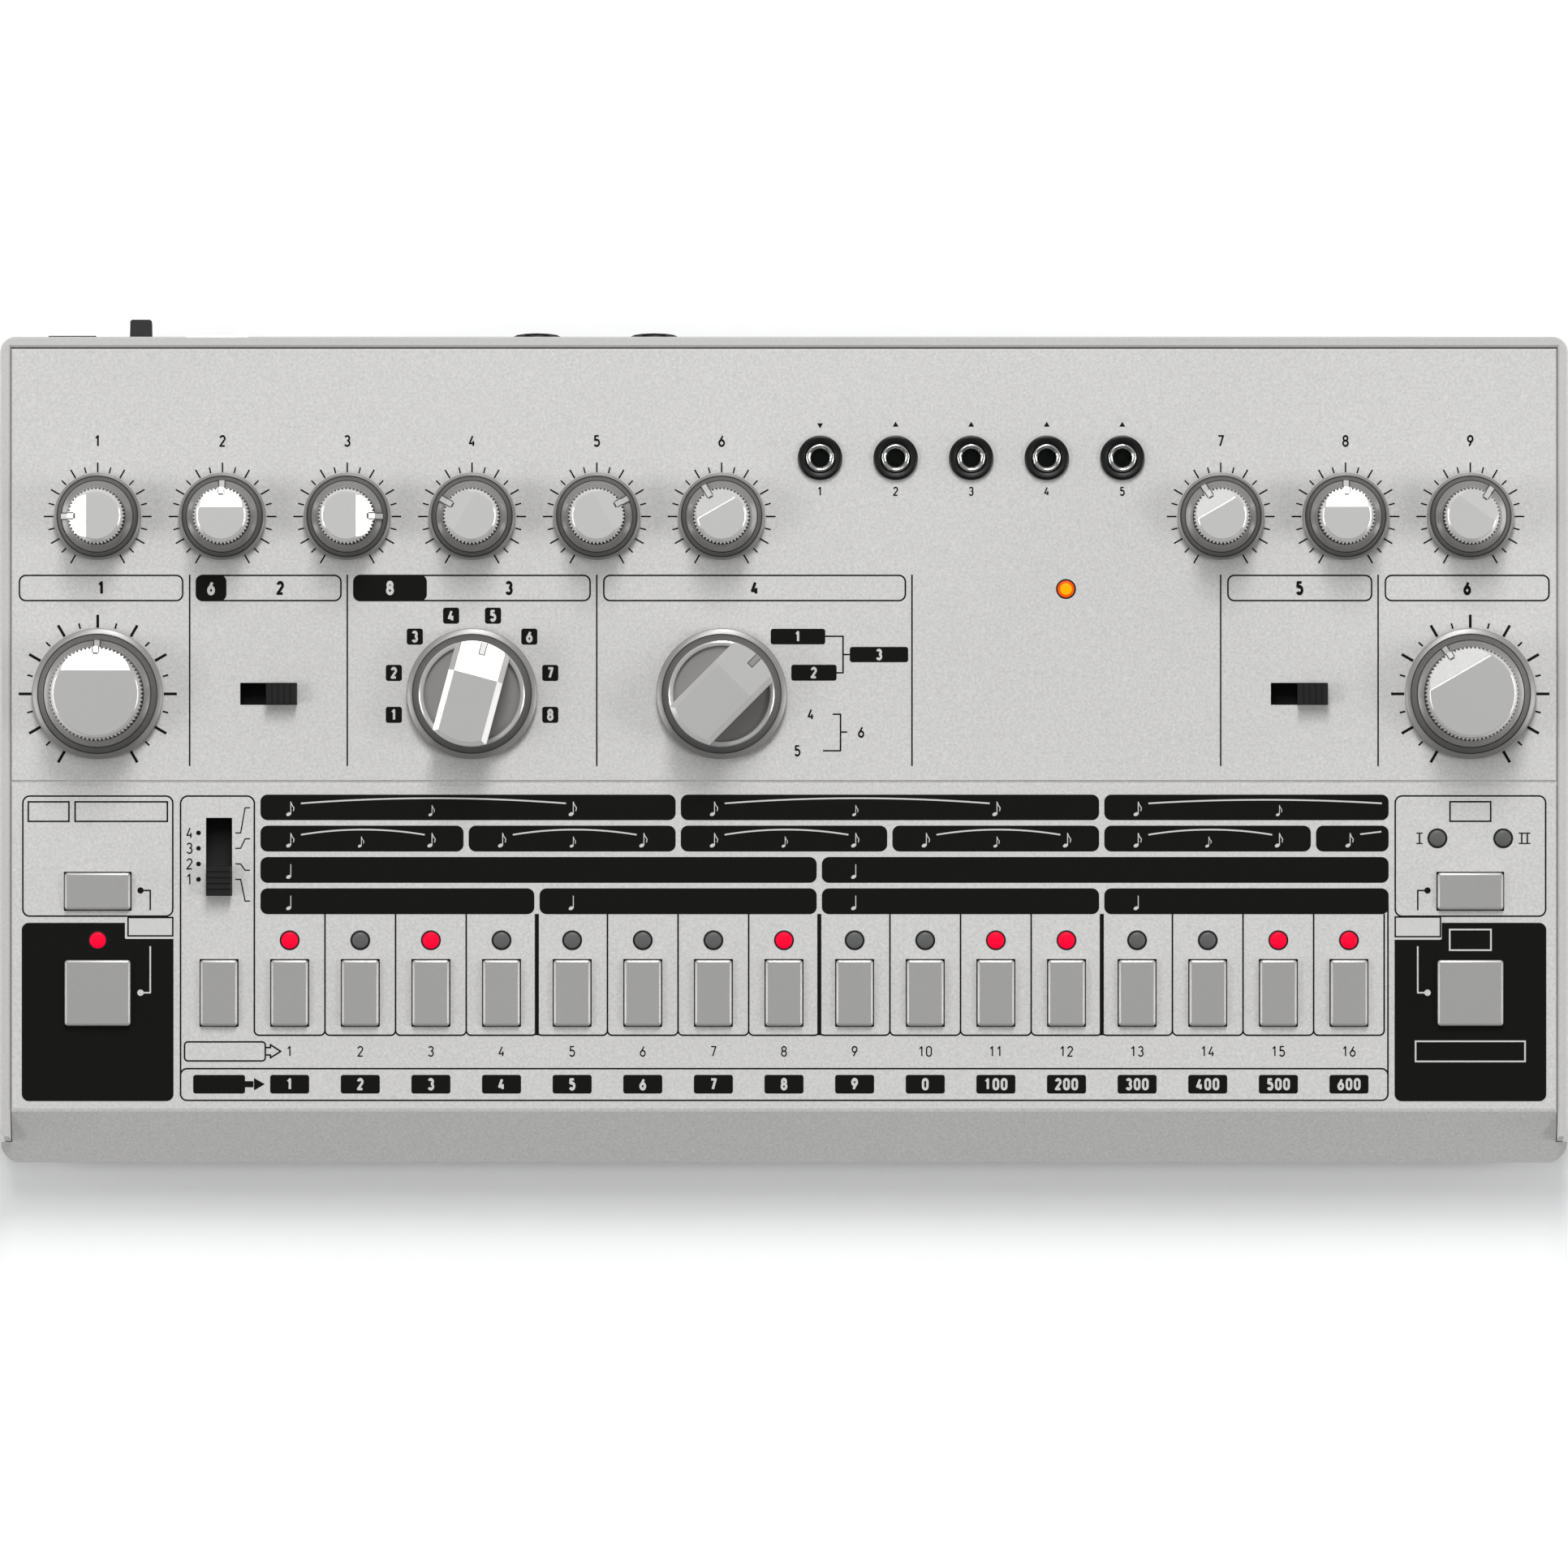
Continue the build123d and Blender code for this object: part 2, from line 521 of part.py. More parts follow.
def panel_holes():
    """Holes for spindles, buttons, slides, lamps and jacks."""
    cuts = []
    spindle_hole = hole(SPINDLE_RADIUS + PANEL_HOLE_PLAY, -2 * WALL, WALL)
    for u, v in [*SMALL_PLACES.values(), *LARGE_PLACES.values(), *SELECTOR_PLACES.values()]:
        cuts.append(place(u, v) * spindle_hole)
    for u, v, width, length in BUTTON_SHAPES.values():
        cuts.append(place(u, v) * post(width + 2 * BUTTON_PLAY, length + 2 * BUTTON_PLAY, -2 * WALL, WALL))
    for (u, v), length, width, _, _, turn in SLIDES.values():
        cuts.append(place(u, v, 0, turn) * post(length, width, -2 * WALL, WALL))
    lamp_hole = hole(LAMP_RADIUS + FIT, -2 * WALL, WALL)
    for u, v in [*RED_LAMPS, *UNLIT_LAMPS, TEMPO_LAMP_PLACE]:
        cuts.append(place(u, v) * lamp_hole)
    sleeve_hole = hole(SLEEVE_RADIUS + FIT, -2 * WALL, WALL)
    for u, v in PANEL_JACKS:
        cuts.append(place(u, v) * sleeve_hole)
    return cuts


def make_main_board():
    """The board behind the panel, which carries everything that the panel shows."""
    low = (-BOARD_HALF_WIDTH, BOARD_FRONT, -BOARD_DEPTH - BOARD_THICKNESS)
    return place(0, 0) * block(low, (BOARD_HALF_WIDTH, BOARD_REAR, -BOARD_DEPTH))


def make_jack_board():
    """The board on the ribs behind the rear wall, which carries the rear connectors."""
    low = (JACK_BOARD_LEFT, REAR_WALL_Y - JACK_BOARD_DEPTH, JACK_BOARD_TOP - BOARD_THICKNESS)
    return block(low, (JACK_BOARD_RIGHT, REAR_WALL_Y - FIT, JACK_BOARD_TOP))


def spindle_bottom(body_height):
    """The height of a spindle's lower end, seated in a body of the given height."""
    return -BOARD_DEPTH + body_height - SPINDLE_SEAT


def control_body(size, height):
    """A square potentiometer or switch body with the blind bush that a spindle turns in."""
    body = post(size, size, -BOARD_DEPTH, -BOARD_DEPTH + height)
    return body - hole(SPINDLE_RADIUS + SPINDLE_PLAY, spindle_bottom(height) - SPINDLE_PLAY, 0)


def spindle(body_height):
    """A knob's spindle, from its bush in the body up into the knob, which it is one piece with."""
    return rod(SPINDLE_RADIUS, spindle_bottom(body_height), KNOB_GAP + SKIRT_HEIGHT)


def drafted(sides, low_radius, high_radius, low, high):
    """A round piece with flat sides that lean in from one radius to a smaller one."""
    lean = degrees(atan((low_radius - high_radius) * cos(pi / sides) / (high - low)))
    return Pos(0, 0, low) * extrude(RegularPolygon(low_radius, sides, rotation=90), high - low, taper=lean)


def fluted_grip(radius, flutes, low, high):
    """A grip whose side has straight vee flutes all round."""
    points = []
    for i in range(2 * flutes):
        reach = radius if i % 2 == 0 else radius - FLUTE_DEPTH
        points.append(Vector(reach, 0, 0).rotate(Axis.Z, i * 180 / flutes))
    outline = Polygon(*[(p.X, p.Y) for p in points], align=None)
    return Pos(0, 0, low) * extrude(outline, high - low)


def skirt(sides, radius, top_radius, flare_height):
    """The low flared skirt of a knob: a drafted edge, then a flare up to the grip."""
    edge_top = KNOB_GAP + SKIRT_HEIGHT
    edge = drafted(sides, radius, radius - SKIRT_STEP, KNOB_GAP, edge_top)
    return edge + drafted(sides, radius - SKIRT_STEP, top_radius, edge_top, edge_top + flare_height)


def facet_cut(start, radius, height):
    """What is cut off the top of a knob to slope it down towards its pointer."""
    tool = block((-radius, 0, 0), (radius, 2 * radius, height))
    return Pos(0, start, height) * Rot(-FACET_SLOPE, 0, 0) * tool


def make_knob(radius, grip_radius, flutes, height, facet_start, body_height):
    """A round fluted knob on its spindle, pointer towards the rear."""
    grip_low = KNOB_GAP + SKIRT_HEIGHT
    body = skirt(flutes, radius, grip_radius - FLUTE_DEPTH, FLARE_HEIGHT)
    body += fluted_grip(grip_radius, flutes, grip_low, height)
    body -= facet_cut(facet_start, radius, height)
    mark_low = (-POINTER_WIDTH / 2, grip_radius - POINTER_WIDTH, grip_low + FLARE_HEIGHT / 4)
    body -= block(mark_low, (POINTER_WIDTH / 2, radius - 2 * SKIRT_STEP, height))
    return body + spindle(body_height)


def make_selector(body_height):
    """A selector knob: a round skirt with a pocket each side of a raised bar grip."""
    radius = LARGE_KNOB_RADIUS
    height = LARGE_KNOB_HEIGHT
    flare_height = SELECTOR_DISC_HEIGHT - KNOB_GAP - SKIRT_HEIGHT
    body = skirt(flat_sides(radius), radius, SELECTOR_BAR_REACH, flare_height)
    pocket_floor = SELECTOR_DISC_HEIGHT - SELECTOR_POCKET_DEPTH
    body -= hole(SELECTOR_POCKET_RADIUS, pocket_floor, height)
    wide = SELECTOR_BAR_WIDTH / 2
    narrow = SELECTOR_BAR_TOP_WIDTH / 2
    shoulder = height - (wide - narrow)
    section = [
        (-wide, KNOB_GAP),
        (wide, KNOB_GAP),
        (wide, shoulder),
        (narrow, height),
        (-narrow, height),
        (-wide, shoulder),
    ]
    bar = extrude(Plane.XZ * Polygon(*section, align=None), radius, both=True)
    bar &= rod(SELECTOR_BAR_REACH, 0, height)
    body += bar
    body -= facet_cut(SELECTOR_FACET_START, radius, height)
    mark_low = (-POINTER_WIDTH / 2, SELECTOR_BAR_REACH - SELECTOR_MARK_LENGTH, pocket_floor)
    body -= block(mark_low, (POINTER_WIDTH / 2, SELECTOR_BAR_REACH, height))
    return body + spindle(body_height)


def make_button(width, length):
    """A push button cap with bevelled edges, a rim behind the panel and a stem to its switch."""
    cap = post(width, length, -WALL - BUTTON_RIM_THICKNESS, BUTTON_HEIGHT)
    crown = cap.faces().sort_by(Axis.Z)[-1]
    cap = chamfer(crown.edges(), BUTTON_EDGE)
    rim_top = -WALL - FIT
    rim = post(width + 2 * BUTTON_RIM, length + 2 * BUTTON_RIM, rim_top - BUTTON_RIM_THICKNESS, rim_top)
    switch_top = -BOARD_DEPTH + SWITCH_HEIGHT
    stem = post(STEM_SIZE, STEM_SIZE, switch_top + BUTTON_TRAVEL + STEM_GAP, rim_top)
    return cap + rim + stem


def make_tact_switch():
    """A square tactile switch that the stem of its button presses on."""
    return post(SWITCH_SIZE, SWITCH_SIZE, -BOARD_DEPTH, -BOARD_DEPTH + SWITCH_HEIGHT)


def slide_foot_bottom():
    """The height of the lower end of a slide cap's foot, inside its switch body."""
    return -BOARD_DEPTH + SLIDE_BODY_HEIGHT - SLIDE_FOOT_DIP


def make_slide_cap(cap_length, slot_length, slot_width):
    """A ribbed slide cap at the near end of its slot, travelling along its own +X."""
    width = slot_width - 2 * SLIDE_CAP_PLAY
    middle = -slot_length / 2 + SLIDE_CAP_PLAY / 2 + cap_length / 2
    cap = post(cap_length, width, slide_foot_bottom(), SLIDE_CAP_HEIGHT)
    pitch = cap_length / SLIDE_RIBS
    for i in range(1, SLIDE_RIBS):
        x = -cap_length / 2 + i * pitch
        valley = post(pitch / 3, slot_width, SLIDE_CAP_HEIGHT - SLIDE_RIB_DEPTH, SLIDE_CAP_HEIGHT + 1)
        cap -= Pos(x, 0, 0) * valley
    return Pos(middle, 0, 0) * cap


def make_slide_body(slot_length, slot_width):
    """The body of a panel slide switch, with a trough for the cap's foot."""
    top = -BOARD_DEPTH + SLIDE_BODY_HEIGHT
    wall = SLIDE_BODY_WALL
    body = post(slot_length + 2 * wall, slot_width + 2 * wall, -BOARD_DEPTH, top)
    return body - post(slot_length, slot_width, slide_foot_bottom() - FIT, top + 1)


def make_lamp():
    """A round lamp on its spacer, from the board up through the panel."""
    return rod(LAMP_RADIUS, -BOARD_DEPTH, LAMP_HEIGHT)


def make_panel_jack():
    """Body, bright sleeve and ring nut of a 3.5 mm jack on the panel."""
    body_top = -WALL - SEAM
    body = post(JACK_BODY_WIDTH, JACK_BODY_LENGTH, -BOARD_DEPTH, body_top)
    body -= hole(MINI_BORE_RADIUS, -BOARD_DEPTH - 1, 0)
    sleeve = rod(SLEEVE_RADIUS, body_top, SLEEVE_HEIGHT)
    sleeve -= bore(MINI_BORE_RADIUS, body_top - 1, SLEEVE_HEIGHT + 1)
    ring = rod(RING_RADIUS, 0, RING_HEIGHT) - hole(SLEEVE_RADIUS, -1, RING_HEIGHT + 1)
    return body, sleeve, ring


def make_mini_jack():
    """A rear 3.5 mm jack in one moulding: body inside, round nose through the wall."""
    body_end = -BODY_BACKSET
    axis = MINI_JACK_AXIS
    nose_end = WALL + MINI_NOSE_REACH
    body = Pos(0, MINI_JACK_HEIGHT / 2 - axis, 0)
    body *= post(MINI_JACK_WIDTH, MINI_JACK_HEIGHT, body_end - MINI_JACK_DEPTH, body_end)
    nose = rod(MINI_NOSE_RADIUS, body_end, nose_end)
    return body + nose - bore(MINI_BORE_RADIUS, nose_end - PLUG_DEPTH, nose_end + 1)


def make_phone_jack():
    """A rear 6.35 mm jack: body inside, threaded bush through the wall, and its ring nut."""
    body_end = -BODY_BACKSET
    bush_end = WALL + PHONE_BUSH_REACH
    body = Pos(0, PHONE_JACK_HEIGHT / 2 - PHONE_JACK_AXIS, 0)
    body *= post(PHONE_JACK_WIDTH, PHONE_JACK_HEIGHT, body_end - PHONE_JACK_DEPTH, body_end)
    bush = rod(PHONE_BUSH_RADIUS, body_end, bush_end)
    jack = body + bush - bore(PHONE_BORE_RADIUS, bush_end - PHONE_PLUG_DEPTH, bush_end + 1)
    nut = rod(PHONE_NUT_RADIUS, WALL, WALL + PHONE_NUT_REACH)
    return jack, nut - hole(PHONE_BUSH_RADIUS, 0, bush_end)


def make_midi_socket():
    """A five-pin round socket: square body inside, collar flush in the wall, round recess."""
    body_end = -BODY_BACKSET
    axis = MIDI_AXIS
    body = Pos(0, MIDI_BODY / 2 - axis, 0) * post(MIDI_BODY, MIDI_BODY, body_end - MIDI_DEPTH, body_end)
    collar = rod(MIDI_COLLAR_RADIUS, body_end, WALL)
    return body + collar - hole(MIDI_RECESS_RADIUS, WALL - MIDI_RECESS_DEPTH, WALL + 1)


def make_usb_socket():
    """A square data socket: a metal shell with its opening."""
    end = WALL + USB_REACH
    shell = post(USB_WIDTH, USB_HEIGHT, end - USB_DEPTH, end)
    return shell - post(USB_OPENING_WIDTH, USB_OPENING_HEIGHT, end - USB_OPENING_DEPTH, end + 1)


def make_power_socket():
    """The barrel socket for the power supply, with its centre pin."""
    end = WALL + POWER_SOCKET_REACH
    body = post(POWER_SOCKET_WIDTH, POWER_SOCKET_HEIGHT, end - POWER_SOCKET_DEPTH, end)
    body -= hole(POWER_SOCKET_BORE, end - POWER_BORE_DEPTH, end + 1)
    return body + rod(POWER_PIN_RADIUS, end - POWER_BORE_DEPTH - 1, end - 1)


def make_switch_lever():
    """The lever of the power switch, tapered a little towards its tip."""
    foot = -BODY_BACKSET - SWITCH_FOOT_DIP
    tip = WALL + SWITCH_LEVER_REACH
    root = Pos(0, 0, foot) * Rectangle(SWITCH_LEVER_WIDTH, SWITCH_LEVER_HEIGHT)
    end = Pos(0, 0, tip) * Rectangle(SWITCH_LEVER_TIP, SWITCH_LEVER_HEIGHT)
    lever = loft([root.face(), end.face()])
    crown = lever.faces().sort_by(Axis.Z)[-1]
    return chamfer(crown.edges(), EDGE_BREAK)


def make_switch_body():
    """The body of the power switch, with a trough that its lever slides in."""
    end = -BODY_BACKSET
    wall = SWITCH_BODY_WALL
    width = SWITCH_LEVER_WIDTH + SWITCH_TRAVEL + 2 * REAR_PLAY
    height = SWITCH_BODY_HEIGHT
    body = post(width + 2 * wall, height, end - SWITCH_BODY_DEPTH, end)
    body = Pos(-SWITCH_TRAVEL / 2, height / 2 - SWITCH_AXIS, 0) * body
    trough = post(width, SWITCH_LEVER_HEIGHT + 2 * REAR_PLAY, end - SWITCH_FOOT_DIP - FIT, end + 1)
    return body - Pos(-SWITCH_TRAVEL / 2, 0, 0) * trough


def make_feet():
    """Four round rubber feet under the floor."""
    foot = rod(FOOT_RADIUS, 0, FOOT_HEIGHT)
    x = CASE_WIDTH / 2 - FOOT_INSET
    rows = (PLINTH_Y + FOOT_INSET, REAR_Y - FOOT_INSET)
    return [Pos(side * x, y, 0) * foot for side in (-1, 1) for y in rows]


def write(name, *solids):
    """Write one piece, or a group of like pieces, to its own file."""
    export_step(Compound(label=name, children=list(solids)), f"parts/{name}.step")


def write_knobs():
    """Every knob and selector at its place, its pointer at rest."""
    small_sizes = (SMALL_KNOB_RADIUS, SMALL_GRIP_RADIUS, SMALL_FLUTES, SMALL_KNOB_HEIGHT, SMALL_FACET_START)
    large_sizes = (LARGE_KNOB_RADIUS, LARGE_GRIP_RADIUS, LARGE_FLUTES, LARGE_KNOB_HEIGHT, LARGE_FACET_START)
    small = make_knob(*small_sizes, POT_HEIGHT)
    large = make_knob(*large_sizes, LARGE_POT_HEIGHT)
    selector = make_selector(ROTARY_HEIGHT)
    for name, (u, v) in SMALL_PLACES.items():
        write(name, place(u, v, 0, SMALL_KNOBS[name][1]) * small)
    for name, (u, v) in LARGE_PLACES.items():
        write(name, place(u, v, 0, LARGE_KNOBS[name][1]) * large)
    for name, (u, v) in SELECTOR_PLACES.items():
        write(name, place(u, v, 0, SELECTORS[name][1]) * selector)


def write_panel_pieces():
    """Everything else that stands on the main board."""
    pots = [place(u, v) * control_body(POT_SIZE, POT_HEIGHT) for u, v in SMALL_PLACES.values()]
    pots += [place(u, v) * control_body(LARGE_POT_SIZE, LARGE_POT_HEIGHT) for u, v in LARGE_PLACES.values()]
    write("potentiometers", *pots)
    write("rotary_switches", *[
        place(u, v) * control_body(ROTARY_SIZE, ROTARY_HEIGHT) for u, v in SELECTOR_PLACES.values()])
    for name, (u, v, width, length) in BUTTON_SHAPES.items():
        write(name, place(u, v) * make_button(width, length))
    write("tact_switches", *[place(u, v) * make_tact_switch() for u, v, _, _ in BUTTON_SHAPES.values()])
    bodies = []
    for name, ((u, v), slot_length, slot_width, cap_length, _, turn) in SLIDES.items():
        write(name, place(u, v, 0, turn) * make_slide_cap(cap_length, slot_length, slot_width))
        bodies.append(place(u, v, 0, turn) * make_slide_body(slot_length, slot_width))
    switch_spot = rearward(SWITCH_PLACE, JACK_BOARD_TOP + SWITCH_AXIS, REAR_WALL_Y)
    write("slide_switch_bodies", *bodies, switch_spot * make_switch_body())
    write("power_switch_lever", switch_spot * make_switch_lever())
    write("red_lamps", *[place(u, v) * make_lamp() for u, v in RED_LAMPS])
    write("unlit_lamps", *[place(u, v) * make_lamp() for u, v in UNLIT_LAMPS])
    write("tempo_lamp", place(*TEMPO_LAMP_PLACE) * make_lamp())
    jacks = [[place(u, v) * piece for piece in make_panel_jack()] for u, v in PANEL_JACKS]
    for index, name in enumerate(("panel_jack_bodies", "panel_jack_sleeves", "panel_jack_rings")):
        write(name, *[jack[index] for jack in jacks])


def write_rear_pieces():
    """The connectors on the jack board."""
    def at(x, axis):
        return rearward(x, JACK_BOARD_TOP + axis, REAR_WALL_Y)
    write("rear_mini_jacks", *[at(x, MINI_JACK_AXIS) * make_mini_jack() for x in MINI_JACKS])
    phones = [[at(x, PHONE_JACK_AXIS) * piece for piece in make_phone_jack()] for x in PHONE_JACK_PLACES]
    write("phone_jacks", *[jack for jack, _ in phones])
    write("phone_jack_nuts", *[nut for _, nut in phones])
    write("midi_sockets", *[at(x, MIDI_AXIS) * make_midi_socket() for x in MIDI_PLACES])
    write("usb_socket", at(USB_PLACE, USB_HEIGHT / 2) * make_usb_socket())
    write("power_socket", at(POWER_SOCKET_PLACE, POWER_SOCKET_HEIGHT / 2) * make_power_socket())


os.makedirs("parts", exist_ok=True)
write("bottom_case", make_bottom_case())
write("top_panel", make_top_panel())
write("main_board", make_main_board())
write("jack_board", make_jack_board())
write("rubber_feet", *make_feet())
write_knobs()
write_panel_pieces()
write_rear_pieces()
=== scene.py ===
import json
import logging
from collections.abc import Iterable
from dataclasses import dataclass
from enum import Enum
from functools import cached_property
from math import atan2, cos, hypot, pi, radians, sin

import bmesh
import bpy
from mathutils import Matrix, Vector


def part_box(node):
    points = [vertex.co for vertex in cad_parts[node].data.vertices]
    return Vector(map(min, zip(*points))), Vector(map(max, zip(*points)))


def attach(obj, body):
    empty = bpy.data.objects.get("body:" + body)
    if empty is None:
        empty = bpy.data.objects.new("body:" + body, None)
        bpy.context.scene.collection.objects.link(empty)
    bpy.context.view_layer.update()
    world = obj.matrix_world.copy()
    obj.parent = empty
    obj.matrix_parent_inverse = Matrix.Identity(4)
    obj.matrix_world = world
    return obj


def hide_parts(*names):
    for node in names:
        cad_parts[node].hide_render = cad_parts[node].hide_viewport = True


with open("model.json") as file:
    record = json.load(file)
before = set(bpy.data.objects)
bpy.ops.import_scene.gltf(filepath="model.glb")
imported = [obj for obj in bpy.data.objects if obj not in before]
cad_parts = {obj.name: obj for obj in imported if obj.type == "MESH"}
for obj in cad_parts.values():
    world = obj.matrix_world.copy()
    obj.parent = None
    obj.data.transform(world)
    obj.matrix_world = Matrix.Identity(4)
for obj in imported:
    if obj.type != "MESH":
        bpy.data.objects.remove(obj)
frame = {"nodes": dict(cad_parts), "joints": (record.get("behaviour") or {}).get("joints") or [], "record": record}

# A tabletop drum machine. Lengths are in millimetres until a mesh is put in its place, and then in metres.
# Places on the sloping panel are (u, v): u to the right from its middle, v up the slope from its front crease.
# Heights over the panel are called w.

MM = 0.001
KNOB_STEPS = 128
# The material slots of every knob: its top; its rim, a darker lacquer that is partly painted shade; its sunk ring,
# with painted shade over its grain; and its grooves, a flat dark of painted shade.
TOP, RIM, RECESS, GROOVE = range(4)
# The rounding of the chord where a knob's flat top meets its facet.
CHORD_BEVEL = 0.2
LOG = logging.getLogger("drum_machine")
HOUSING = "housing"

Point = tuple[float, float]
Corner = tuple[float, float, float]


# ---- Finishes ----


def linear(colour: str) -> tuple[float, float, float, float]:
    """Turn an sRGB hex colour such as "#A0B0C0" into a linear RGBA one.

    Args:
        colour: The hex colour.

    Returns:
        The linear red, green and blue, and an alpha of 1.
    """
    parts = [int(colour[i:i + 2], 16) / 255 for i in (1, 3, 5)]
    parts = [c / 12.92 if c <= 0.04045 else ((c + 0.055) / 1.055) ** 2.4 for c in parts]
    return (*parts, 1.0)


def add_node(tree: bpy.types.NodeTree, kind: str, links: dict, **settings) -> bpy.types.Node:
    """Add a node to a material.

    Args:
        tree: The material's node tree.
        kind: The node's type, such as "ShaderNodeTexNoise".
        links: For each input, the output socket that feeds it, or the value that it is set to.
        settings: The node's own properties.

    Returns:
        The new node.
    """
    node = tree.nodes.new(kind)
    for name, value in settings.items():
        setattr(node, name, value)
    for name, source in links.items():
        if isinstance(source, bpy.types.NodeSocket):
            tree.links.new(source, node.inputs[name])
        else:
            node.inputs[name].default_value = source
    return node


@dataclass(frozen=True)
class Finish:
    """A surface with a fine grain, which moulding, paint or plating leaves.

    The grain drives colour, roughness and bump together, and a broad cloudiness drives colour alone.
    """

    name: str
    colour: str
    roughness: float = 0.4
    grain_mm: float = 0.35
    grain_tone: float = 0.03
    grain_rough: float = 0.05
    grain_depth_mm: float = 0.004
    cloud_mm: float = 40.0
    cloud_tone: float = 0.015
    metallic: float = 0.0
    specular: float = 0.5
    glow: str = ""
    glow_strength: float = 0.0

    def make(self) -> bpy.types.Material:
        """Build the material once and hand it out after that.

        Returns:
            The material.
        """
        known = bpy.data.materials.get(self.name)
        if known:
            return known
        made = bpy.data.materials.new(self.name)
        made.use_nodes = True
        tree = made.node_tree
        shader = tree.nodes["Principled BSDF"]
        place = add_node(tree, "ShaderNodeTexCoord", {}).outputs["Object"]
        grain = add_node(tree, "ShaderNodeTexNoise", {
            "Vector": place, "Scale": 1 / (self.grain_mm * MM), "Detail": 2.0, "Roughness": 0.6})
        cloud = add_node(tree, "ShaderNodeTexNoise", {
            "Vector": place, "Scale": 1 / (self.cloud_mm * MM), "Detail": 1.0})
        tone = add_node(tree, "ShaderNodeMapRange", {
            "Value": grain.outputs["Fac"], "From Min": 0.25, "From Max": 0.75,
            "To Min": 1 - self.grain_tone, "To Max": 1 + self.grain_tone})
        shade = add_node(tree, "ShaderNodeMapRange", {
            "Value": cloud.outputs["Fac"], "From Min": 0.3, "From Max": 0.7,
            "To Min": 1 - self.cloud_tone, "To Max": 1 + self.cloud_tone})
        both = add_node(tree, "ShaderNodeMath", {
            0: tone.outputs["Result"], 1: shade.outputs["Result"]}, operation="MULTIPLY")
        mixed = add_node(tree, "ShaderNodeVectorMath", {
            0: linear(self.colour)[:3], "Scale": both.outputs["Value"]}, operation="SCALE")
        rough = add_node(tree, "ShaderNodeMapRange", {
            "Value": grain.outputs["Fac"], "From Min": 0.25, "From Max": 0.75,
            "To Min": self.roughness - self.grain_rough, "To Max": self.roughness + self.grain_rough})
        bump = add_node(tree, "ShaderNodeBump", {
            "Height": grain.outputs["Fac"], "Distance": self.grain_depth_mm * MM, "Strength": 1.0})
        tree.links.new(mixed.outputs["Vector"], shader.inputs["Base Color"])
        tree.links.new(rough.outputs["Result"], shader.inputs["Roughness"])
        tree.links.new(bump.outputs["Normal"], shader.inputs["Normal"])
        shader.inputs["Metallic"].default_value = self.metallic
        shader.inputs["Specular IOR Level"].default_value = self.specular
        if self.glow:
            shader.inputs["Emission Color"].default_value = linear(self.glow)
            shader.inputs["Emission Strength"].default_value = self.glow_strength
        return made


# Silver-grey ABS with a fine spark-eroded mould texture: a soft, slightly sparkling grain, no clear reflection.
# The real grain of about 0.1 mm is drawn at 0.5 mm, so that it shows.
CASE_ABS = Finish("silver_case_abs", "#C9C8C6", 0.5, 0.5, 0.13, 0.08, 0.016, cloud_mm=60.0, specular=0.4)
# The tub comes from a second mould with a coarser texture, which shows a little darker.
TUB_ABS = Finish("silver_tub_abs", "#BDBCBA", 0.5, 0.5, 0.06, 0.08, 0.009, cloud_mm=50.0)
# Silver lacquer over the ABS knobs: metal flakes in a satin coat, which catch the softboxes on each facet.
KNOB_LACQUER = Finish("silver_knob_lacquer", "#C6C5C3", 0.2, 0.3, 0.02, 0.03, 0.001, metallic=0.35)
# The small knobs carry a lighter copy of the same lacquer: painted light.
SMALL_KNOB_PAINTED_LIGHT_LACQUER = Finish("painted_light_knob_lacquer", "#D4D3D1", 0.2, 0.3, 0.02, 0.03, 0.001, metallic=0.35)
# A darker copy of the same lacquer: on the skirt's rim and band it is their own darker tone, and on the flares,
# the selectors' pocket floors and their notches it is painted shade.
RIM_TONE_AND_SHADE_LACQUER = Finish("rim_tone_and_painted_shade_lacquer", "#918F8D", 0.33, 0.3, 0.04, 0.05, 0.002, metallic=0.3)
# The sunk ring of each knob keeps the mould's rough texture, with a visible grain, and its darkest colour is
# painted shade for the sunk ring.
RECESS_ABS = Finish("textured_recess_painted_shade_abs", "#605F5E", 0.55, 0.4, 0.22, 0.08, 0.02)
# A flat dark colour that paints the shade in the knobs' grooves and slots and in the screws' cross recesses.
SLOT_ABS = Finish("painted_shade_slot_abs", "#3A3A39", 0.6, 0.4, 0.12, 0.06, 0.004)
# Silver lacquer of the button caps, a little duller than the knobs', in a darker copy of their colour: painted
# shade.
BUTTON_LACQUER = Finish("silver_button_lacquer_painted_shade", "#A7A6A4", 0.32, 0.3, 0.03, 0.04, 0.002, metallic=0.3)
# Screen-printing ink: black, thin and flat, with pinhole variation.
BLACK_INK = Finish("black_screen_ink", "#0F0F0D", 0.6, 0.4, 0.12, 0.06, 0.002, specular=0.08)
# Where the print is left open, the bare case shows through as pale signs.
BARE_SIGN = Finish("bare_case_sign", "#C9C8C6", 0.5, 0.5, 0.05, 0.08, 0.006, cloud_mm=60.0, specular=0.4)
# Glass-filled black nylon of jacks and nuts: near black and semi-matte.
BLACK_NYLON = Finish("black_nylon", "#0B0B0B", 0.36, 0.25, 0.15, 0.08, 0.003, specular=0.28)
# Slider caps are acetal: black with a soft waxy sheen.
BLACK_ACETAL = Finish("black_acetal", "#121211", 0.45, 0.25, 0.1, 0.06, 0.002, specular=0.25)
# Inner bodies of switches and jacks, seen only as darkness through the slots. The button caps' rims and stems take
# it too, as painted shade in the gap round each cap.
INNER_BLACK = Finish("inner_black_nylon", "#0A0A09", 0.6, 0.3, 0.1, 0.05, 0.003)
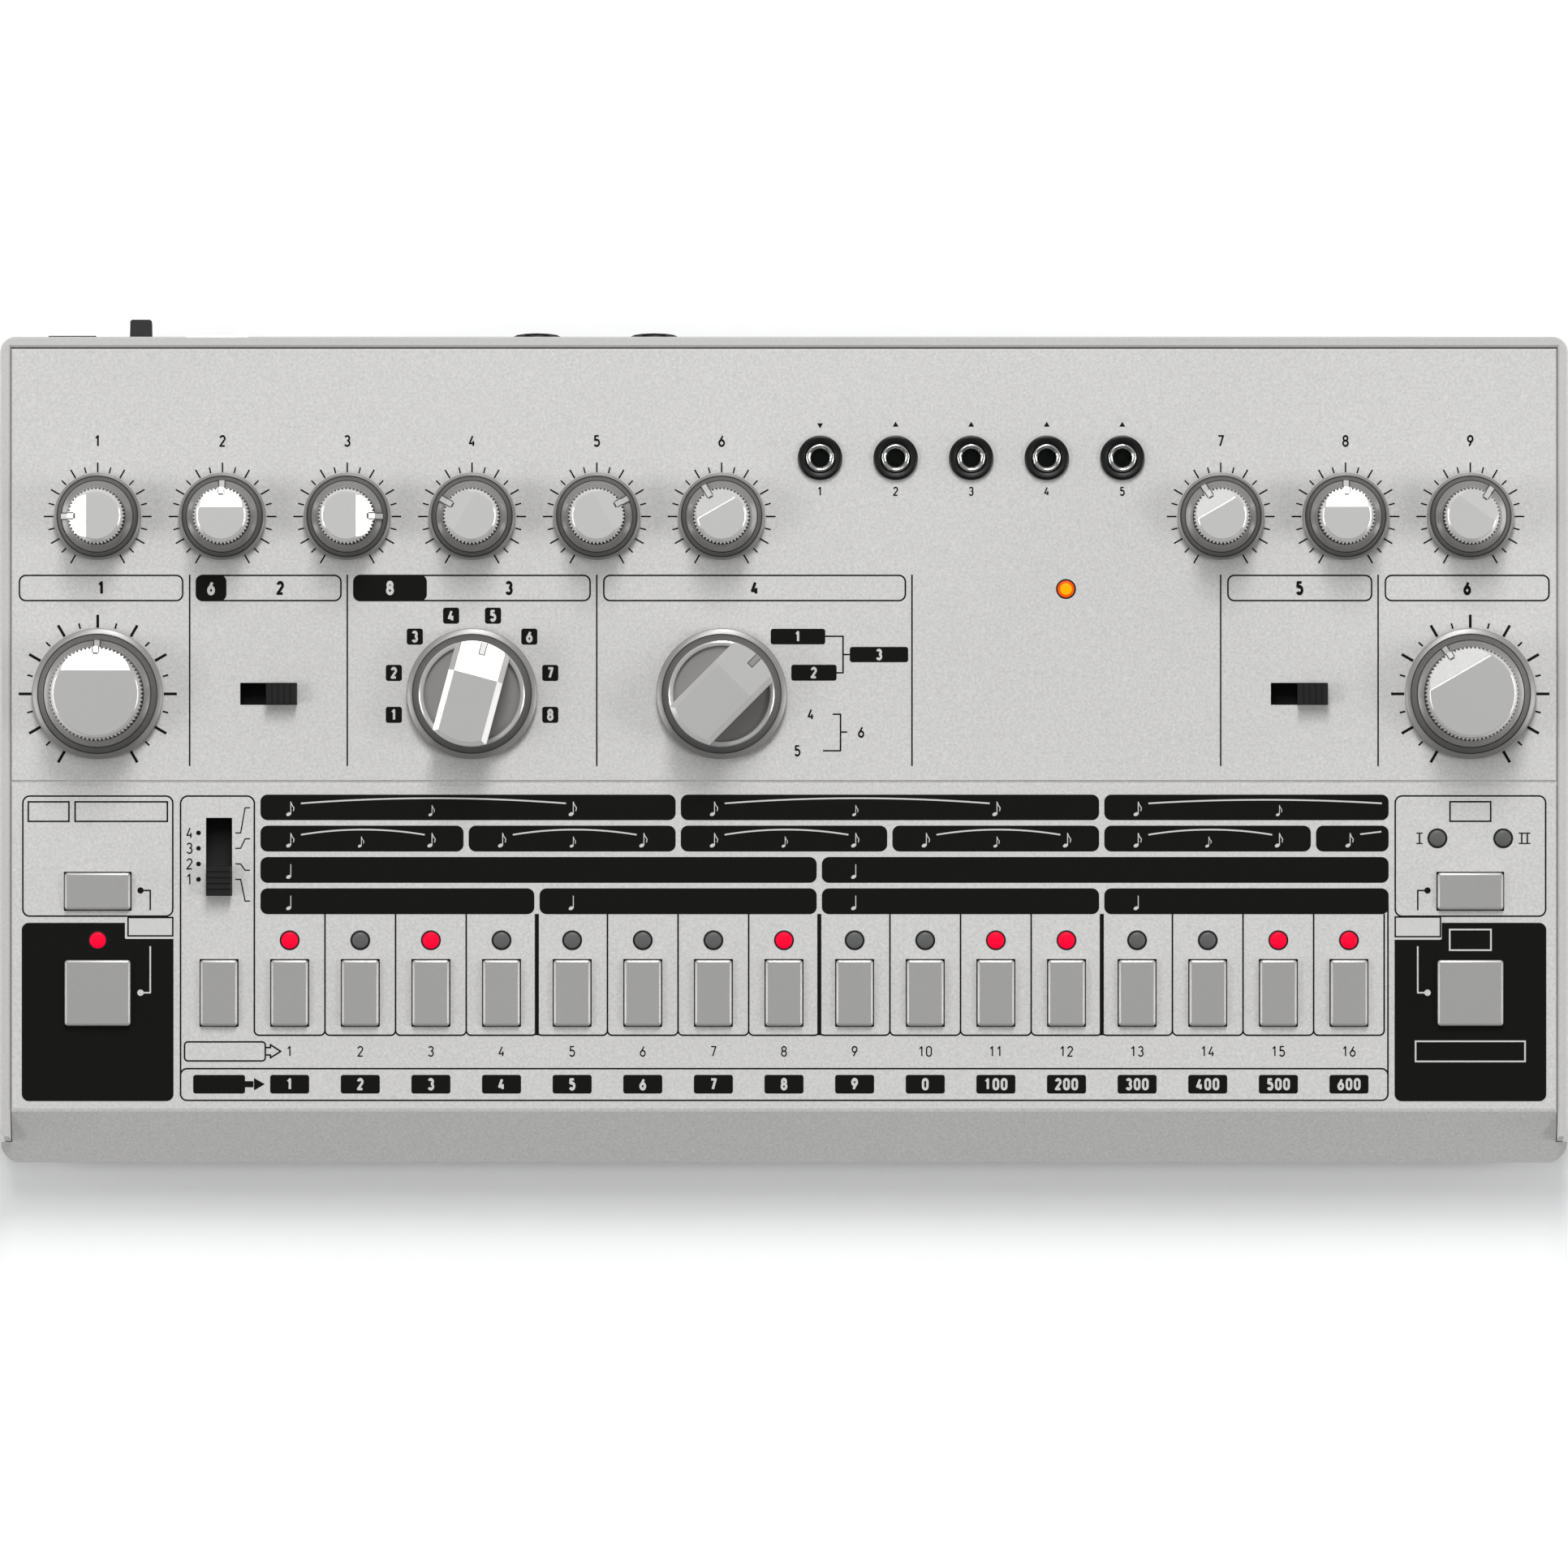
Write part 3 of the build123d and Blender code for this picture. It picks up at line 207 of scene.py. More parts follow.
# Nickel-plated brass sleeves: bright, with faint turning marks.
NICKEL = Finish("nickel_plating", "#D6D5D2", 0.16, 0.12, 0.03, 0.04, 0.001, metallic=1.0)
# Gold-flashed spring contacts inside the sockets.
GOLD_FLASH = Finish("gold_flash", "#D8B25A", 0.25, 0.12, 0.03, 0.04, 0.001, metallic=1.0)
# Tin-plated steel of the inner switch bodies.
TINPLATE = Finish("tinplate", "#A9AAAB", 0.35, 0.5, 0.05, 0.08, 0.002, metallic=1.0)
# Green solder mask over glass-epoxy board.
SOLDER_MASK = Finish("green_solder_mask", "#1F4D33", 0.3, 0.8, 0.12, 0.05, 0.004)
# Soft black rubber of the feet.
FOOT_RUBBER = Finish("foot_rubber", "#141414", 0.75, 0.4, 0.15, 0.08, 0.01)
# Zinc-plated steel of the case screws.
ZINC_STEEL = Finish("zinc_steel", "#8F9092", 0.3, 0.2, 0.06, 0.08, 0.002, metallic=1.0)
# Diffused epoxy lamps: dark grey when unlit, and lit evenly from inside otherwise.
LAMP_OFF = Finish("unlit_lamp_epoxy", "#5B5B5B", 0.4, 0.3, 0.05, 0.04, 0.002, specular=0.3)
LAMP_RED = Finish("lit_red_lamp_epoxy", "#A00018", 0.4, 0.3, 0.04, 0.03, 0.002, specular=0.1,
                  glow="#FF0037", glow_strength=0.72)
LAMP_ORANGE = Finish("lit_orange_lamp_epoxy", "#A05000", 0.4, 0.3, 0.04, 0.03, 0.002, specular=0.1,
                     glow="#FFB000", glow_strength=0.9)
LAMP_ORANGE_RIM = Finish("orange_lamp_rim_epoxy", "#A03000", 0.4, 0.3, 0.04, 0.03, 0.002, specular=0.1,
                         glow="#FF5A00", glow_strength=0.8)
# White table top.
TABLE_TOP = Finish("white_table_laminate", "#FFFFFF", 0.6, 1.2, 0.01, 0.04, 0.004, cloud_mm=300.0)


# ---- Meshes ----


def mesh_object(name: str, shape: bmesh.types.BMesh, place: Matrix, *finishes: Finish,
                sharp: float = 35.0) -> bpy.types.Object:
    """Turn a finished shape into an object at the origin, its place in its mesh.

    Args:
        name: The object's name.
        shape: The shape, in its own millimetres. It is used up.
        place: Takes the shape's millimetres to metres in the room.
        finishes: The finishes of the object's material slots, in order.
        sharp: The angle in degrees from which an edge is shown sharp.

    Returns:
        The new object.
    """
    for face in shape.faces:
        face.smooth = len(face.verts) < 8
    for edge in shape.edges:
        edge.smooth = edge.is_manifold and edge.calc_face_angle(0.0) < radians(sharp)
    mesh = bpy.data.meshes.new(name)
    shape.to_mesh(mesh)
    shape.free()
    mesh.transform(place)
    for finish in finishes:
        mesh.materials.append(finish.make())
    made = bpy.data.objects.new(name, mesh)
    bpy.context.scene.collection.objects.link(made)
    return made


def piece(name: str, shape: bmesh.types.BMesh, place: Matrix, body: str, slot: str, *finishes: Finish,
          stands_for: tuple[str, ...] = (), sharp: float = 35.0) -> bpy.types.Object:
    """Make a piece of the machine that rides on a body.

    Args:
        name: The piece's name.
        shape: Its shape, in its own millimetres.
        place: Takes the shape's millimetres to metres in the room.
        body: The body that it rides on.
        slot: The record's material slot that it would take its finish from. It is not used.
        finishes: The finishes of its material slots.
        stands_for: The CAD nodes that it is shown for.
        sharp: The angle in degrees from which an edge is shown sharp.

    Returns:
        The new piece.
    """
    made = mesh_object(name, shape, place, *finishes, sharp=sharp)
    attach(made, body)
    if stands_for:
        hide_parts(*stands_for)
    LOG.info("%s: %d faces on %s", name, len(made.data.polygons), body)
    return made


def join(shape: bmesh.types.BMesh, other: bmesh.types.BMesh, place: Matrix = Matrix()) -> None:
    """Add another shape to a shape.

    Args:
        shape: The shape that grows.
        other: The shape that is added. It is used up.
        place: Where it goes.
    """
    spare = bpy.data.meshes.new("spare")
    other.transform(place)
    other.to_mesh(spare)
    other.free()
    shape.from_mesh(spare)
    bpy.data.meshes.remove(spare)


def turned(profile: list[Point], steps: int = 96) -> bmesh.types.BMesh:
    """Spin a side profile of (radius, height) points round the upright axis.

    Args:
        profile: The points, from the axis or back to the first for a ring.
        steps: How many steps one turn takes.

    Returns:
        The closed round shape, its faces pointing outwards.
    """
    shape = bmesh.new()
    points = [shape.verts.new((r, 0, z)) for r, z in profile]
    if profile[0][0] > 0:
        points.append(points[0])
    edges = [shape.edges.new(pair) for pair in zip(points, points[1:])]
    bmesh.ops.spin(shape, geom=shape.verts[:] + edges, cent=(0, 0, 0), axis=(0, 0, 1), angle=2 * pi,
                   steps=steps, use_merge=True)
    bmesh.ops.remove_doubles(shape, verts=shape.verts, dist=1e-5)
    bmesh.ops.recalc_face_normals(shape, faces=shape.faces)
    return shape


def round_edges(shape: bmesh.types.BMesh, edges: Iterable[bmesh.types.BMEdge], size: float,
                segments: int = 2, clamp: bool = False) -> None:
    """Round some edges of a shape.

    Args:
        shape: The shape.
        edges: The edges.
        size: The rounding's size.
        segments: The rounding's steps.
        clamp: Whether the size is held back where the faces beside it end.
    """
    bmesh.ops.bevel(shape, geom=list(edges), offset=size, segments=segments, profile=0.5, affect="EDGES",
                    material=-1, clamp_overlap=clamp)


def shared_edges(faces: list[bmesh.types.BMFace],
                 others: list[bmesh.types.BMFace]) -> set[bmesh.types.BMEdge]:
    """The edges at which two groups of faces meet."""
    return {e for f in faces for e in f.edges} & {e for f in others for e in f.edges}


def box(low: Corner, high: Corner, edge: float = 0.0, segments: int = 2) -> bmesh.types.BMesh:
    """A box between two corners, with its edges rounded.

    Args:
        low: The lowest corner.
        high: The highest corner.
        edge: The rounding's size.
        segments: The rounding's steps.

    Returns:
        The box.
    """
    shape = bmesh.new()
    middle = (Vector(low) + Vector(high)) / 2
    size = Vector(high) - Vector(low)
    bmesh.ops.create_cube(shape, size=1.0, matrix=Matrix.Translation(middle) @ Matrix.Diagonal((*size, 1)))
    if edge:
        round_edges(shape, shape.edges, edge, segments)
    return shape


def pin(radius: float, low: float, high: float, steps: int = 24) -> bmesh.types.BMesh:
    """An upright round pin between two heights."""
    return turned([(0, low), (radius, low), (radius, high), (0, high)], steps)


def in_slot(shape: bmesh.types.BMesh, slot: int) -> bmesh.types.BMesh:
    """Give all faces of a shape one material slot.

    Args:
        shape: The shape.
        slot: The number of the slot.

    Returns:
        The same shape.
    """
    for face in shape.faces:
        face.material_index = slot
    return shape


def cut(shape: bmesh.types.BMesh, point: Corner, outward: Corner) -> None:
    """Cut a closed shape off along a plane and close it again.

    Args:
        shape: The shape.
        point: A point of the plane.
        outward: The side that is taken away.
    """
    geom = shape.verts[:] + shape.edges[:] + shape.faces[:]
    made = bmesh.ops.bisect_plane(shape, geom=geom, plane_co=point, plane_no=outward, clear_outer=True)
    rim = [e for e in made["geom_cut"] if isinstance(e, bmesh.types.BMEdge)]
    bmesh.ops.holes_fill(shape, edges=rim, sides=0)


def merge_flat(shape: bmesh.types.BMesh) -> None:
    """Join the faces of a shape that lie in one plane."""
    bmesh.ops.dissolve_limit(shape, angle_limit=radians(0.3), verts=shape.verts, edges=shape.edges)


def facing(shape: bmesh.types.BMesh, direction: Vector, above: float = 0.0) -> list[bmesh.types.BMFace]:
    """The faces of a shape that look one way.

    Args:
        shape: The shape.
        direction: The way they look.
        above: The least height of their middle.

    Returns:
        The faces.
    """
    shape.normal_update()
    return [f for f in shape.faces if f.normal.dot(direction) > 0.999 and f.calc_center_median().z > above]


# ---- Where things are ----


@dataclass(frozen=True)
class PanelPlane:
    """The sloping panel's own plane in the room."""

    origin: Vector
    up: Vector
    normal: Vector

    @classmethod
    def from_knob(cls, joint_name: str, row: float) -> "PanelPlane":
        """Find the plane from the axis of a knob that stands on it.

        Args:
            joint_name: The knob's joint.
            row: The v of the knob.

        Returns:
            The plane.
        """
        joint = next(j for j in frame["joints"] if j["name"] == joint_name)
        normal = -Vector(joint["axis"]).normalized()
        up = Vector((0, normal.z, -normal.y))
        spot = Vector(joint["pos_m"])
        spot.x = 0
        return cls(spot - up * row * MM, up, normal)

    def place(self, u: float = 0.0, v: float = 0.0, w: float = 0.0, turn: float = 0.0) -> Matrix:
        """A place on the panel.

        Args:
            u: To the right.
            v: Up the slope.
            w: Over the panel.
            turn: Degrees clockwise, seen from above.

        Returns:
            The matrix from the piece's millimetres to metres in the room.
        """
        axes = Matrix((Vector((1, 0, 0)), self.up, self.normal)).transposed().to_4x4()
        spot = self.origin + (Vector((u, 0, 0)) + self.up * v + self.normal * w) * MM
        return Matrix.Translation(spot) @ axes @ Matrix.Rotation(radians(-turn), 4, "Z") @ Matrix.Scale(MM, 4)

    def spot(self, point: Vector) -> Vector:
        """The u, v and w of a point of the room."""
        away = (point - self.origin) / MM
        return Vector((away.x, away.dot(self.up), away.dot(self.normal)))

    def axis_spot(self, body: str) -> Vector:
        """The u, v and w of the axis that a body turns about."""
        return self.spot(Vector(joint_of(body)["pos_m"]))

    def extent(self, node: str) -> tuple[Vector, Vector]:
        """The lowest and highest u, v and w of a CAD node.

        Args:
            node: The node.

        Returns:
            The two corners.
        """
        spots = [self.spot(v.co) for v in frame["nodes"][node].data.vertices]
        return Vector(map(min, *spots)), Vector(map(max, *spots))

    def middle(self, node: str) -> Point:
        """The u and v of the middle of a CAD node."""
        low, high = self.extent(node)
        return (low.x + high.x) / 2, (low.y + high.y) / 2


def joint_of(body: str) -> dict:
    """The joint that moves a body."""
    return next(j for j in frame["joints"] if j["child"] == body)


def mounts_like(start: str) -> list[Vector]:
    """The places of the record's mounts whose names start alike."""
    return [Vector(m["pos_m"]) for m in frame["record"]["mounts"] if m["name"].startswith(start)]


# ---- Knobs ----


@dataclass(frozen=True)
class KnobSizes:
    """Sizes and top finish of a round fluted knob.

    From skirt to crown they are radii, from the outside in. The facet starts so far behind the axis.
    """

    skirt: float
    band: float
    flare: float
    grip: float
    root: float
    crown: float
    height: float
    flutes: int
    facet: float
    finish: Finish


SMALL_KNOB = KnobSizes(8.45, 7.9, 6.9, 5.55, 5.12, 4.45, 13.0, 46, 1.8, SMALL_KNOB_PAINTED_LIGHT_LACQUER)
LARGE_KNOB = KnobSizes(12.7, 11.65, 10.35, 9.15, 8.7, 8.1, 15.0, 70, 4.6, KNOB_LACQUER)


def skirt_edge(skirt: float, band: float, gap: float) -> list[Point]:
    """The side profile that all skirts share.

    Args:
        skirt: The skirt's radius.
        band: The radius at which its flat band ends.
        gap: Its height over the panel.

    Returns:
        The points from the axis, under the skirt, up its side and over its band.
    """
    return [(0, gap), (skirt - 0.15, gap), (skirt, gap + 0.15), (skirt, 1.85), (skirt - 0.06, 1.97),
            (skirt - 0.16, 2.03), (band + 0.08, 2.2), (band + 0.03, 2.17)]


def knob_piece(body: str, shape: bmesh.types.BMesh, plane: PanelPlane, centre: float,
               top: Finish) -> bpy.types.Object:
    """Put a finished knob on its spindle, at its rest angle.

    Args:
        body: The knob's body.
        shape: Its shape, with its pointer straight up the panel.
        plane: The panel's plane.
        centre: Degrees clockwise to which the pointer looks in the middle of its range.
        top: The finish of its top and grip.

    Returns:
        The piece.
    """
    low, high = joint_of(body)["range_deg"]
    spot = plane.axis_spot(body)
    rest = centre - (low + high) / 2
    return piece(body + "_cap", shape, plane.place(spot.x, spot.y, 0, rest), body, "knob", top, RIM_TONE_AND_SHADE_LACQUER,
                 RECESS_ABS, SLOT_ABS, stands_for=(body,), sharp=24.0)


@dataclass
class FlutedKnob:
    """A knob with a skirt, a recessed ring, a flare, a fluted grip and a facet that slopes to its pointer."""

    body: str
    sizes: KnobSizes
    plane: PanelPlane
    centre: float = 0.0
    gap: float = 0.6
    facet_slope: float = 20.0
    pointer_width: float = 1.0
    spindle: float = 3.0
    spindle_depth: float = 9.0

    def facet_plane(self, lift: float = 0.0) -> tuple[Corner, Corner]:
        """The plane of the facet.

        Args:
            lift: How far over the facet.

        Returns:
            A point of it and its outward direction.
        """
        slope = radians(self.facet_slope)
        return (0, self.sizes.facet, self.sizes.height + lift), (0, sin(slope), cos(slope))

    def skirt(self) -> bmesh.types.BMesh:
        """The skirt with its band, fine line, recessed ring and flare, as one turned shape.

        Returns:
            The shape, its faces in the slots of rim, recess and groove.
        """
        s = self.sizes
        wall = s.flare + 0.05
        shape = turned([
            *skirt_edge(s.skirt, s.band, self.gap),
            (s.band, 1.9), (s.band - 0.1, 1.9), (s.band - 0.14, 2.2), (wall + 0.14, 3.6), (wall + 0.1, 3.5),
            (wall - 0.02, 3.5), (wall - 0.06, 3.75), (wall - 0.12, 4.0), (s.flare - 0.35, 4.25),
            (s.grip + 0.55, 4.6), (s.grip + 0.2, 5.0), (s.grip + 0.02, 5.5), (s.root, 5.6), (0, 5.6)],
            KNOB_STEPS)
        # Flute floors and the two fine grooves take the flat dark slot colour, painted shade; the flare takes the
        # darker rim lacquer, painted shade; the sunk ring takes its darker finish, painted shade over its grain.
        for face in shape.faces:
            spot = face.calc_center_median()
            away = hypot(spot.x, spot.y)
            if away < s.grip or abs(away - s.band + 0.05) < 0.06 or abs(away - wall - 0.04) < 0.07:
                face.material_index = GROOVE
            elif s.flare < away < s.band:
                face.material_index = RECESS
            else:
                face.material_index = RIM
        return shape

    def grip(self) -> bmesh.types.BMesh:
        """The core with its crown and facet, and the flutes round it.

        Returns:
            The two closed shapes as one.
        """
        s = self.sizes
        core = turned([
            (0, 5.0), (s.root, 5.0), (s.root, s.height - 0.72), (s.root - 0.05, s.height - 0.62),
            (s.crown + 0.06, s.height - 0.04), (s.crown, s.height), (0, s.height)], KNOB_STEPS)
        merge_flat(core)
        cut(core, *self.facet_plane())
        top = facing(core, Vector((0, 0, 1)), s.height - 0.1)
        facet = facing(core, Vector(self.facet_plane()[1]))
        round_edges(core, shared_edges(top, facet), CHORD_BEVEL, clamp=True)
        ridges = bmesh.new()
        bmesh.ops.create_circle(ridges, cap_ends=True, segments=2 * s.flutes, radius=s.grip)
        ridges.verts.ensure_lookup_table()
        valleys = [v for v in ridges.verts if v.index % 2]
        bmesh.ops.scale(ridges, vec=((s.root - 0.1) / s.grip,) * 2 + (1,), verts=valleys)
        self.raise_up(ridges, 4.6, s.height - 0.85)
        cut(ridges, *self.facet_plane(-0.05))
        join(core, ridges)
        return core

    @staticmethod
    def raise_up(shape: bmesh.types.BMesh, low: float, high: float) -> None:
        """Make a closed prism of a flat shape.

        Args:
            shape: The flat shape.
            low: The prism's lower end.
            high: Its upper end.
        """
        bmesh.ops.translate(shape, vec=(0, 0, low), verts=shape.verts)
        bmesh.ops.solidify(shape, geom=shape.faces[:], thickness=low - high)
        bmesh.ops.recalc_face_normals(shape, faces=shape.faces)

    def pointer(self) -> bmesh.types.BMesh:
        """The raised pointer: a rib up the grip's side and a bar down the flare, each between flanks of painted
        shade.

        Returns:
            The pointer, and at its upper end a flat dark mark that paints a groove and its shade.
        """
        s = self.sizes
        both = bmesh.new()
        half = self.pointer_width / 2
        # The groove is a flat dark mark just over the facet: painted shade where a groove would be.
        groove = box((-half, s.crown - 0.42, s.height - 3), (half, s.crown - 0.1, s.height))
        cut(groove, *self.facet_plane(0.015))
        # The wider, lower copy in the slot colour shows as flanks of painted shade beside the rib and the bar.
        for half, drop, tint in ((half + 0.2, 0.16, GROOVE), (half, 0.0, TOP)):
            rib = box((-half, s.crown - 0.1, 4.0), (half, s.grip + 0.05 - drop * 0.2, s.height))
            cut(rib, *self.facet_plane(0.1 - drop * 0.6))
            bar = box((-half, s.grip - 0.2, 3.0), (half, s.flare + 0.1, 6.5))
            cut(bar, (0, s.grip + 0.1, 5.45 - drop), (0, 0.72, 1))
            join(both, in_slot(rib, tint))
            join(both, in_slot(bar, tint))
        join(both, in_slot(groove, GROOVE))
        return both

    def build(self) -> bpy.types.Object:
        """Build the knob at its rest angle.

        Returns:
            The piece.
        """
        shape = self.skirt()
        join(shape, self.grip())
        join(shape, self.pointer())
        join(shape, pin(self.spindle, -self.spindle_depth, 1))
        return knob_piece(self.body, shape, self.plane, self.centre, self.sizes.finish)


@dataclass
class SelectorKnob:
    """A selector with a bar grip across a skirt, a pocket each side and a facet that slopes to its pointer."""

    body: str
    plane: PanelPlane
    centre: float
    gap: float = 0.6
    skirt: float = 12.7
    band: float = 11.6
    ring_outer: float = 10.3
    ring_inner: float = 9.35
    ring_height: float = 4.6
    pocket_floor: float = 3.5
    bar_half: float = 5.4
    bar_reach: float = 10.2
    height: float = 15.0
    edge: float = 1.1
    facet: float = 3.6
    facet_slope: float = 20.0
    notch_width: float = 1.0
    notch_length: float = 2.3
    spindle: float = 3.0
    spindle_depth: float = 8.0

    def base(self) -> bmesh.types.BMesh:
        """The skirt, its recessed ring, the raised rim and the pocket floor.

        Returns:
            The turned shape, its faces in their slots.
        """
        ring, top = self.ring_outer, self.ring_height
        shape = turned([
            *skirt_edge(self.skirt, self.band, self.gap), (self.band, 2.0), (self.band - 0.06, 2.0),
            (self.band - 0.1, 2.25), (ring + 0.12, top - 0.3), (ring, top - 0.1), (ring - 0.25, top),
            (self.ring_inner + 0.2, top - 0.05), (self.ring_inner, top - 0.25),
            (self.ring_inner - 0.05, self.pocket_floor), (0, self.pocket_floor)], KNOB_STEPS)
        # The pocket floor takes the darker rim lacquer, painted shade from the bar beside it; the two fine grooves
        # take the flat dark slot colour, painted shade; the sunk ring's darker finish is painted shade over its
        # grain.
        for face in shape.faces:
            spot = face.calc_center_median()
            away = hypot(spot.x, spot.y)
            if abs(away - self.band + 0.05) < 0.06 or abs(away - self.ring_inner + 0.02) < 0.04:
                face.material_index = GROOVE
            elif ring < away < self.band:
                face.material_index = RECESS
            elif away > self.band or away < self.ring_inner:
                face.material_index = RIM
        return shape

    def bar(self) -> bmesh.types.BMesh:
        """The bar grip: a turned block with chamfered sides and tail, its sloping facet and its notch, painted on
        the facet as a darker patch in a dark outline of painted shade.

        Returns:
            The bar with its notch.
        """
        reach, top, edge = self.bar_reach, self.height, self.edge
        tail = 0.85
        shape = turned([(0, 1.0), (reach, 1.0), (reach, top - tail), (reach - tail, top), (0, top)], 144)
        merge_flat(shape)
        slope = radians(self.facet_slope)
        lean = Vector((0, sin(slope), cos(slope)))
        inner = self.bar_half - edge
        for side in (-1, 1):
            cut(shape, (side * self.bar_half, 0, 0), (side, 0, 0))
            cut(shape, (side * inner, 0, top), (side, 0, 1))
        cut(shape, (0, self.facet, top), tuple(lean))
        for side in (-1, 1):
            cut(shape, (side * inner, self.facet, top), tuple(lean + Vector((side, 0, 0))))
        facet = facing(shape, lean)
        crown = facing(shape, Vector((0, 0, 1)), top - 0.1)
        round_edges(shape, shared_edges(crown, facet), CHORD_BEVEL, clamp=True)
        # The notch is not cut: a patch of the darker rim lacquer just over the facet, inside a flat dark outline,
        # paints the slot and its shade.
        half = self.notch_width / 2
        foot = reach - self.notch_length
        lift = Vector((0, self.facet, top + 0.015))
        notch = box((-half, foot, 9.0), (half, reach + 0.01, top + 1))
        cut(notch, tuple(lift), tuple(lean))
        line = box((-half - 0.18, foot - 0.18, 9.0), (half + 0.18, reach + 0.005, top + 1))
        cut(line, tuple(lift - Vector((0, 0, 0.008))), tuple(lean))
        join(shape, in_slot(notch, RIM))
        join(shape, in_slot(line, GROOVE))
        return shape

    def build(self) -> bpy.types.Object:
        """Build the selector at its rest angle.

        Returns:
            The piece.
        """
        shape = self.base()
        join(shape, self.bar())
        join(shape, pin(self.spindle, -self.spindle_depth, 1))
        return knob_piece(self.body, shape, self.plane, self.centre, KNOB_LACQUER)


# ---- Buttons, slides and lamps ----


@dataclass
class PushButton:
    """A button cap with rounded bevels, on its rim and stem, whose black paints the shade in the gap round the
    cap.
    """

    body: str
    plane: PanelPlane
    rim_reach: float = 0.8
    rim_depth: float = 3.05
    wall: float = 2.05
    bevel: float = 0.42
    corner: float = 0.6
    stem: float = 3.0

    def build(self) -> bpy.types.Object:
        """Build the button.

        Returns:
            The piece.
        """
        low, high = self.plane.extent(self.body)
        u, v = (low.x + high.x) / 2, (low.y + high.y) / 2
        across = (high.x - low.x) / 2 - self.rim_reach
        along = (high.y - low.y) / 2 - self.rim_reach
        shape = box((-across, -along, -self.wall - 0.5), (across, along, high.z))
        upright = [e for e in shape.edges if abs(e.verts[0].co.z - e.verts[1].co.z) > 1]
        round_edges(shape, upright, self.corner, 3)
        crown = {e for f in facing(shape, Vector((0, 0, 1))) for e in f.edges}
        round_edges(shape, crown, self.bevel)
        reach, half = self.rim_reach, self.stem / 2
        corner = Vector((across + reach, along + reach, 0))
        rim = box((-corner.x, -corner.y, -self.rim_depth), (corner.x, corner.y, -self.wall), 0.15)
        # The rim and stem take the inner bodies' black: painted shade in the gap round the cap.
        join(shape, in_slot(rim, 1))
        join(shape, in_slot(box((-half, -half, low.z), (half, half, -self.wall), 0.2), 1))
        return piece(self.body + "_cap", shape, self.plane.place(u, v), self.body, "button", BUTTON_LACQUER,
                     INNER_BLACK, stands_for=(self.body,), sharp=20.0)


@dataclass
class Lamp:
    """A small round lamp: a domed lens in a thin black sleeve, whose black ring paints the shade of the gap round
    the lens.
    """

    radius: float = 1.62
    dome: float = 0.22
    sleeve: float = 1.95
    depth: float = 12.6

    def lens(self) -> bmesh.types.BMesh:
        """The lens, down to the board.

        Returns:
            The closed lens, its dome in the first finish and its shoulder and shank in the second.
        """
        r, top = self.radius, self.dome
        shape = turned([(0, -self.depth), (r, -self.depth), (r, 0), (r - 0.12, top * 0.45),
                        (r * 0.7, top * 0.8), (r * 0.35, top * 0.96), (0, top)], 40)
        for face in shape.faces:
            spot = face.calc_center_median()
            face.material_index = int(spot.z < 0 or hypot(spot.x, spot.y) > r * 0.76)
        return shape

    def ring(self) -> bmesh.types.BMesh:
        """The sleeve round the lens, closing the hole in the panel; its black paints the gap's shade."""
        r = self.radius
        return turned([(r + 0.02, -1.0), (r + 0.14, -1.0), (r + 0.14, 0), (self.sleeve, 0),
                       (self.sleeve - 0.06, 0.1), (r + 0.02, 0.12)], 40)


@dataclass
class LampSet:
    """All the lamps that one CAD node holds."""

    name: str
    node: str
    slot: str
    spots: list[Point]
    finish: Finish
    shoulder: Finish
    plane: PanelPlane

    def build(self) -> None:
        """Build the lenses as one piece and their sleeves as another."""
        lamp = Lamp()
        lenses, rings = bmesh.new(), bmesh.new()
        for u, v in self.spots:
            join(lenses, lamp.lens(), Matrix.Translation((u, v, 0)))
            join(rings, lamp.ring(), Matrix.Translation((u, v, 0)))
        piece(self.name + "_lenses", lenses, self.plane.place(), HOUSING, self.slot, self.finish,
              self.shoulder, stands_for=(self.node,), sharp=60.0)
        piece(self.name + "_sleeves", rings, self.plane.place(), HOUSING, "black_plastic", BLACK_NYLON)


# ---- Print on the panel ----


class Weight(Enum):
    """How heavy the strokes of a number are, as a share of its height."""

    LIGHT = 0.12
    PLAIN = 0.15
    BOLD = 0.2


# Plain digits, each of straight lines and parts of ovals in a box one wide and one high.
DIGIT_LINES = {
    "0": (((0, 0.25), (0, 0.75)), ((1, 0.25), (1, 0.75))),
    "1": (((0.1, 0.78), (0.55, 1), (0.55, 0)),),
    "2": (((0.89, 0.6), (0, 0), (1, 0)),),
    "4": (((0.62, 1), (0, 0.25), (1, 0.25)), ((0.75, 0.5), (0.75, 0))),
    "5": (((0.9, 1), (0.16, 1), (0.1, 0.52)),),
    "6": (((0.74, 1), (0.1, 0.4)),),
    "7": (((0, 1), (1, 1), (0.35, 0)),),
    "9": (((0.26, 0), (0.9, 0.6)),),
}
DIGIT_BOWS = {
    "0": (((0.5, 0.75), (0.5, 0.25), 0, 180), ((0.5, 0.25), (0.5, 0.25), 180, 180)),
    "2": (((0.5, 0.74), (0.48, 0.26), -32, 200),),
    "3": (((0.48, 0.765), (0.45, 0.235), -90, 245), ((0.48, 0.27), (0.5, 0.27), -155, 245)),
    "5": (((0.47, 0.31), (0.52, 0.31), -150, 285),),
    "6": (((0.5, 0.29), (0.5, 0.29), 0, 360),),
    "8": (((0.5, 0.76), (0.42, 0.24), 0, 360), ((0.5, 0.27), (0.5, 0.27), 0, 360)),
    "9": (((0.5, 0.71), (0.5, 0.29), 0, 360),),
}


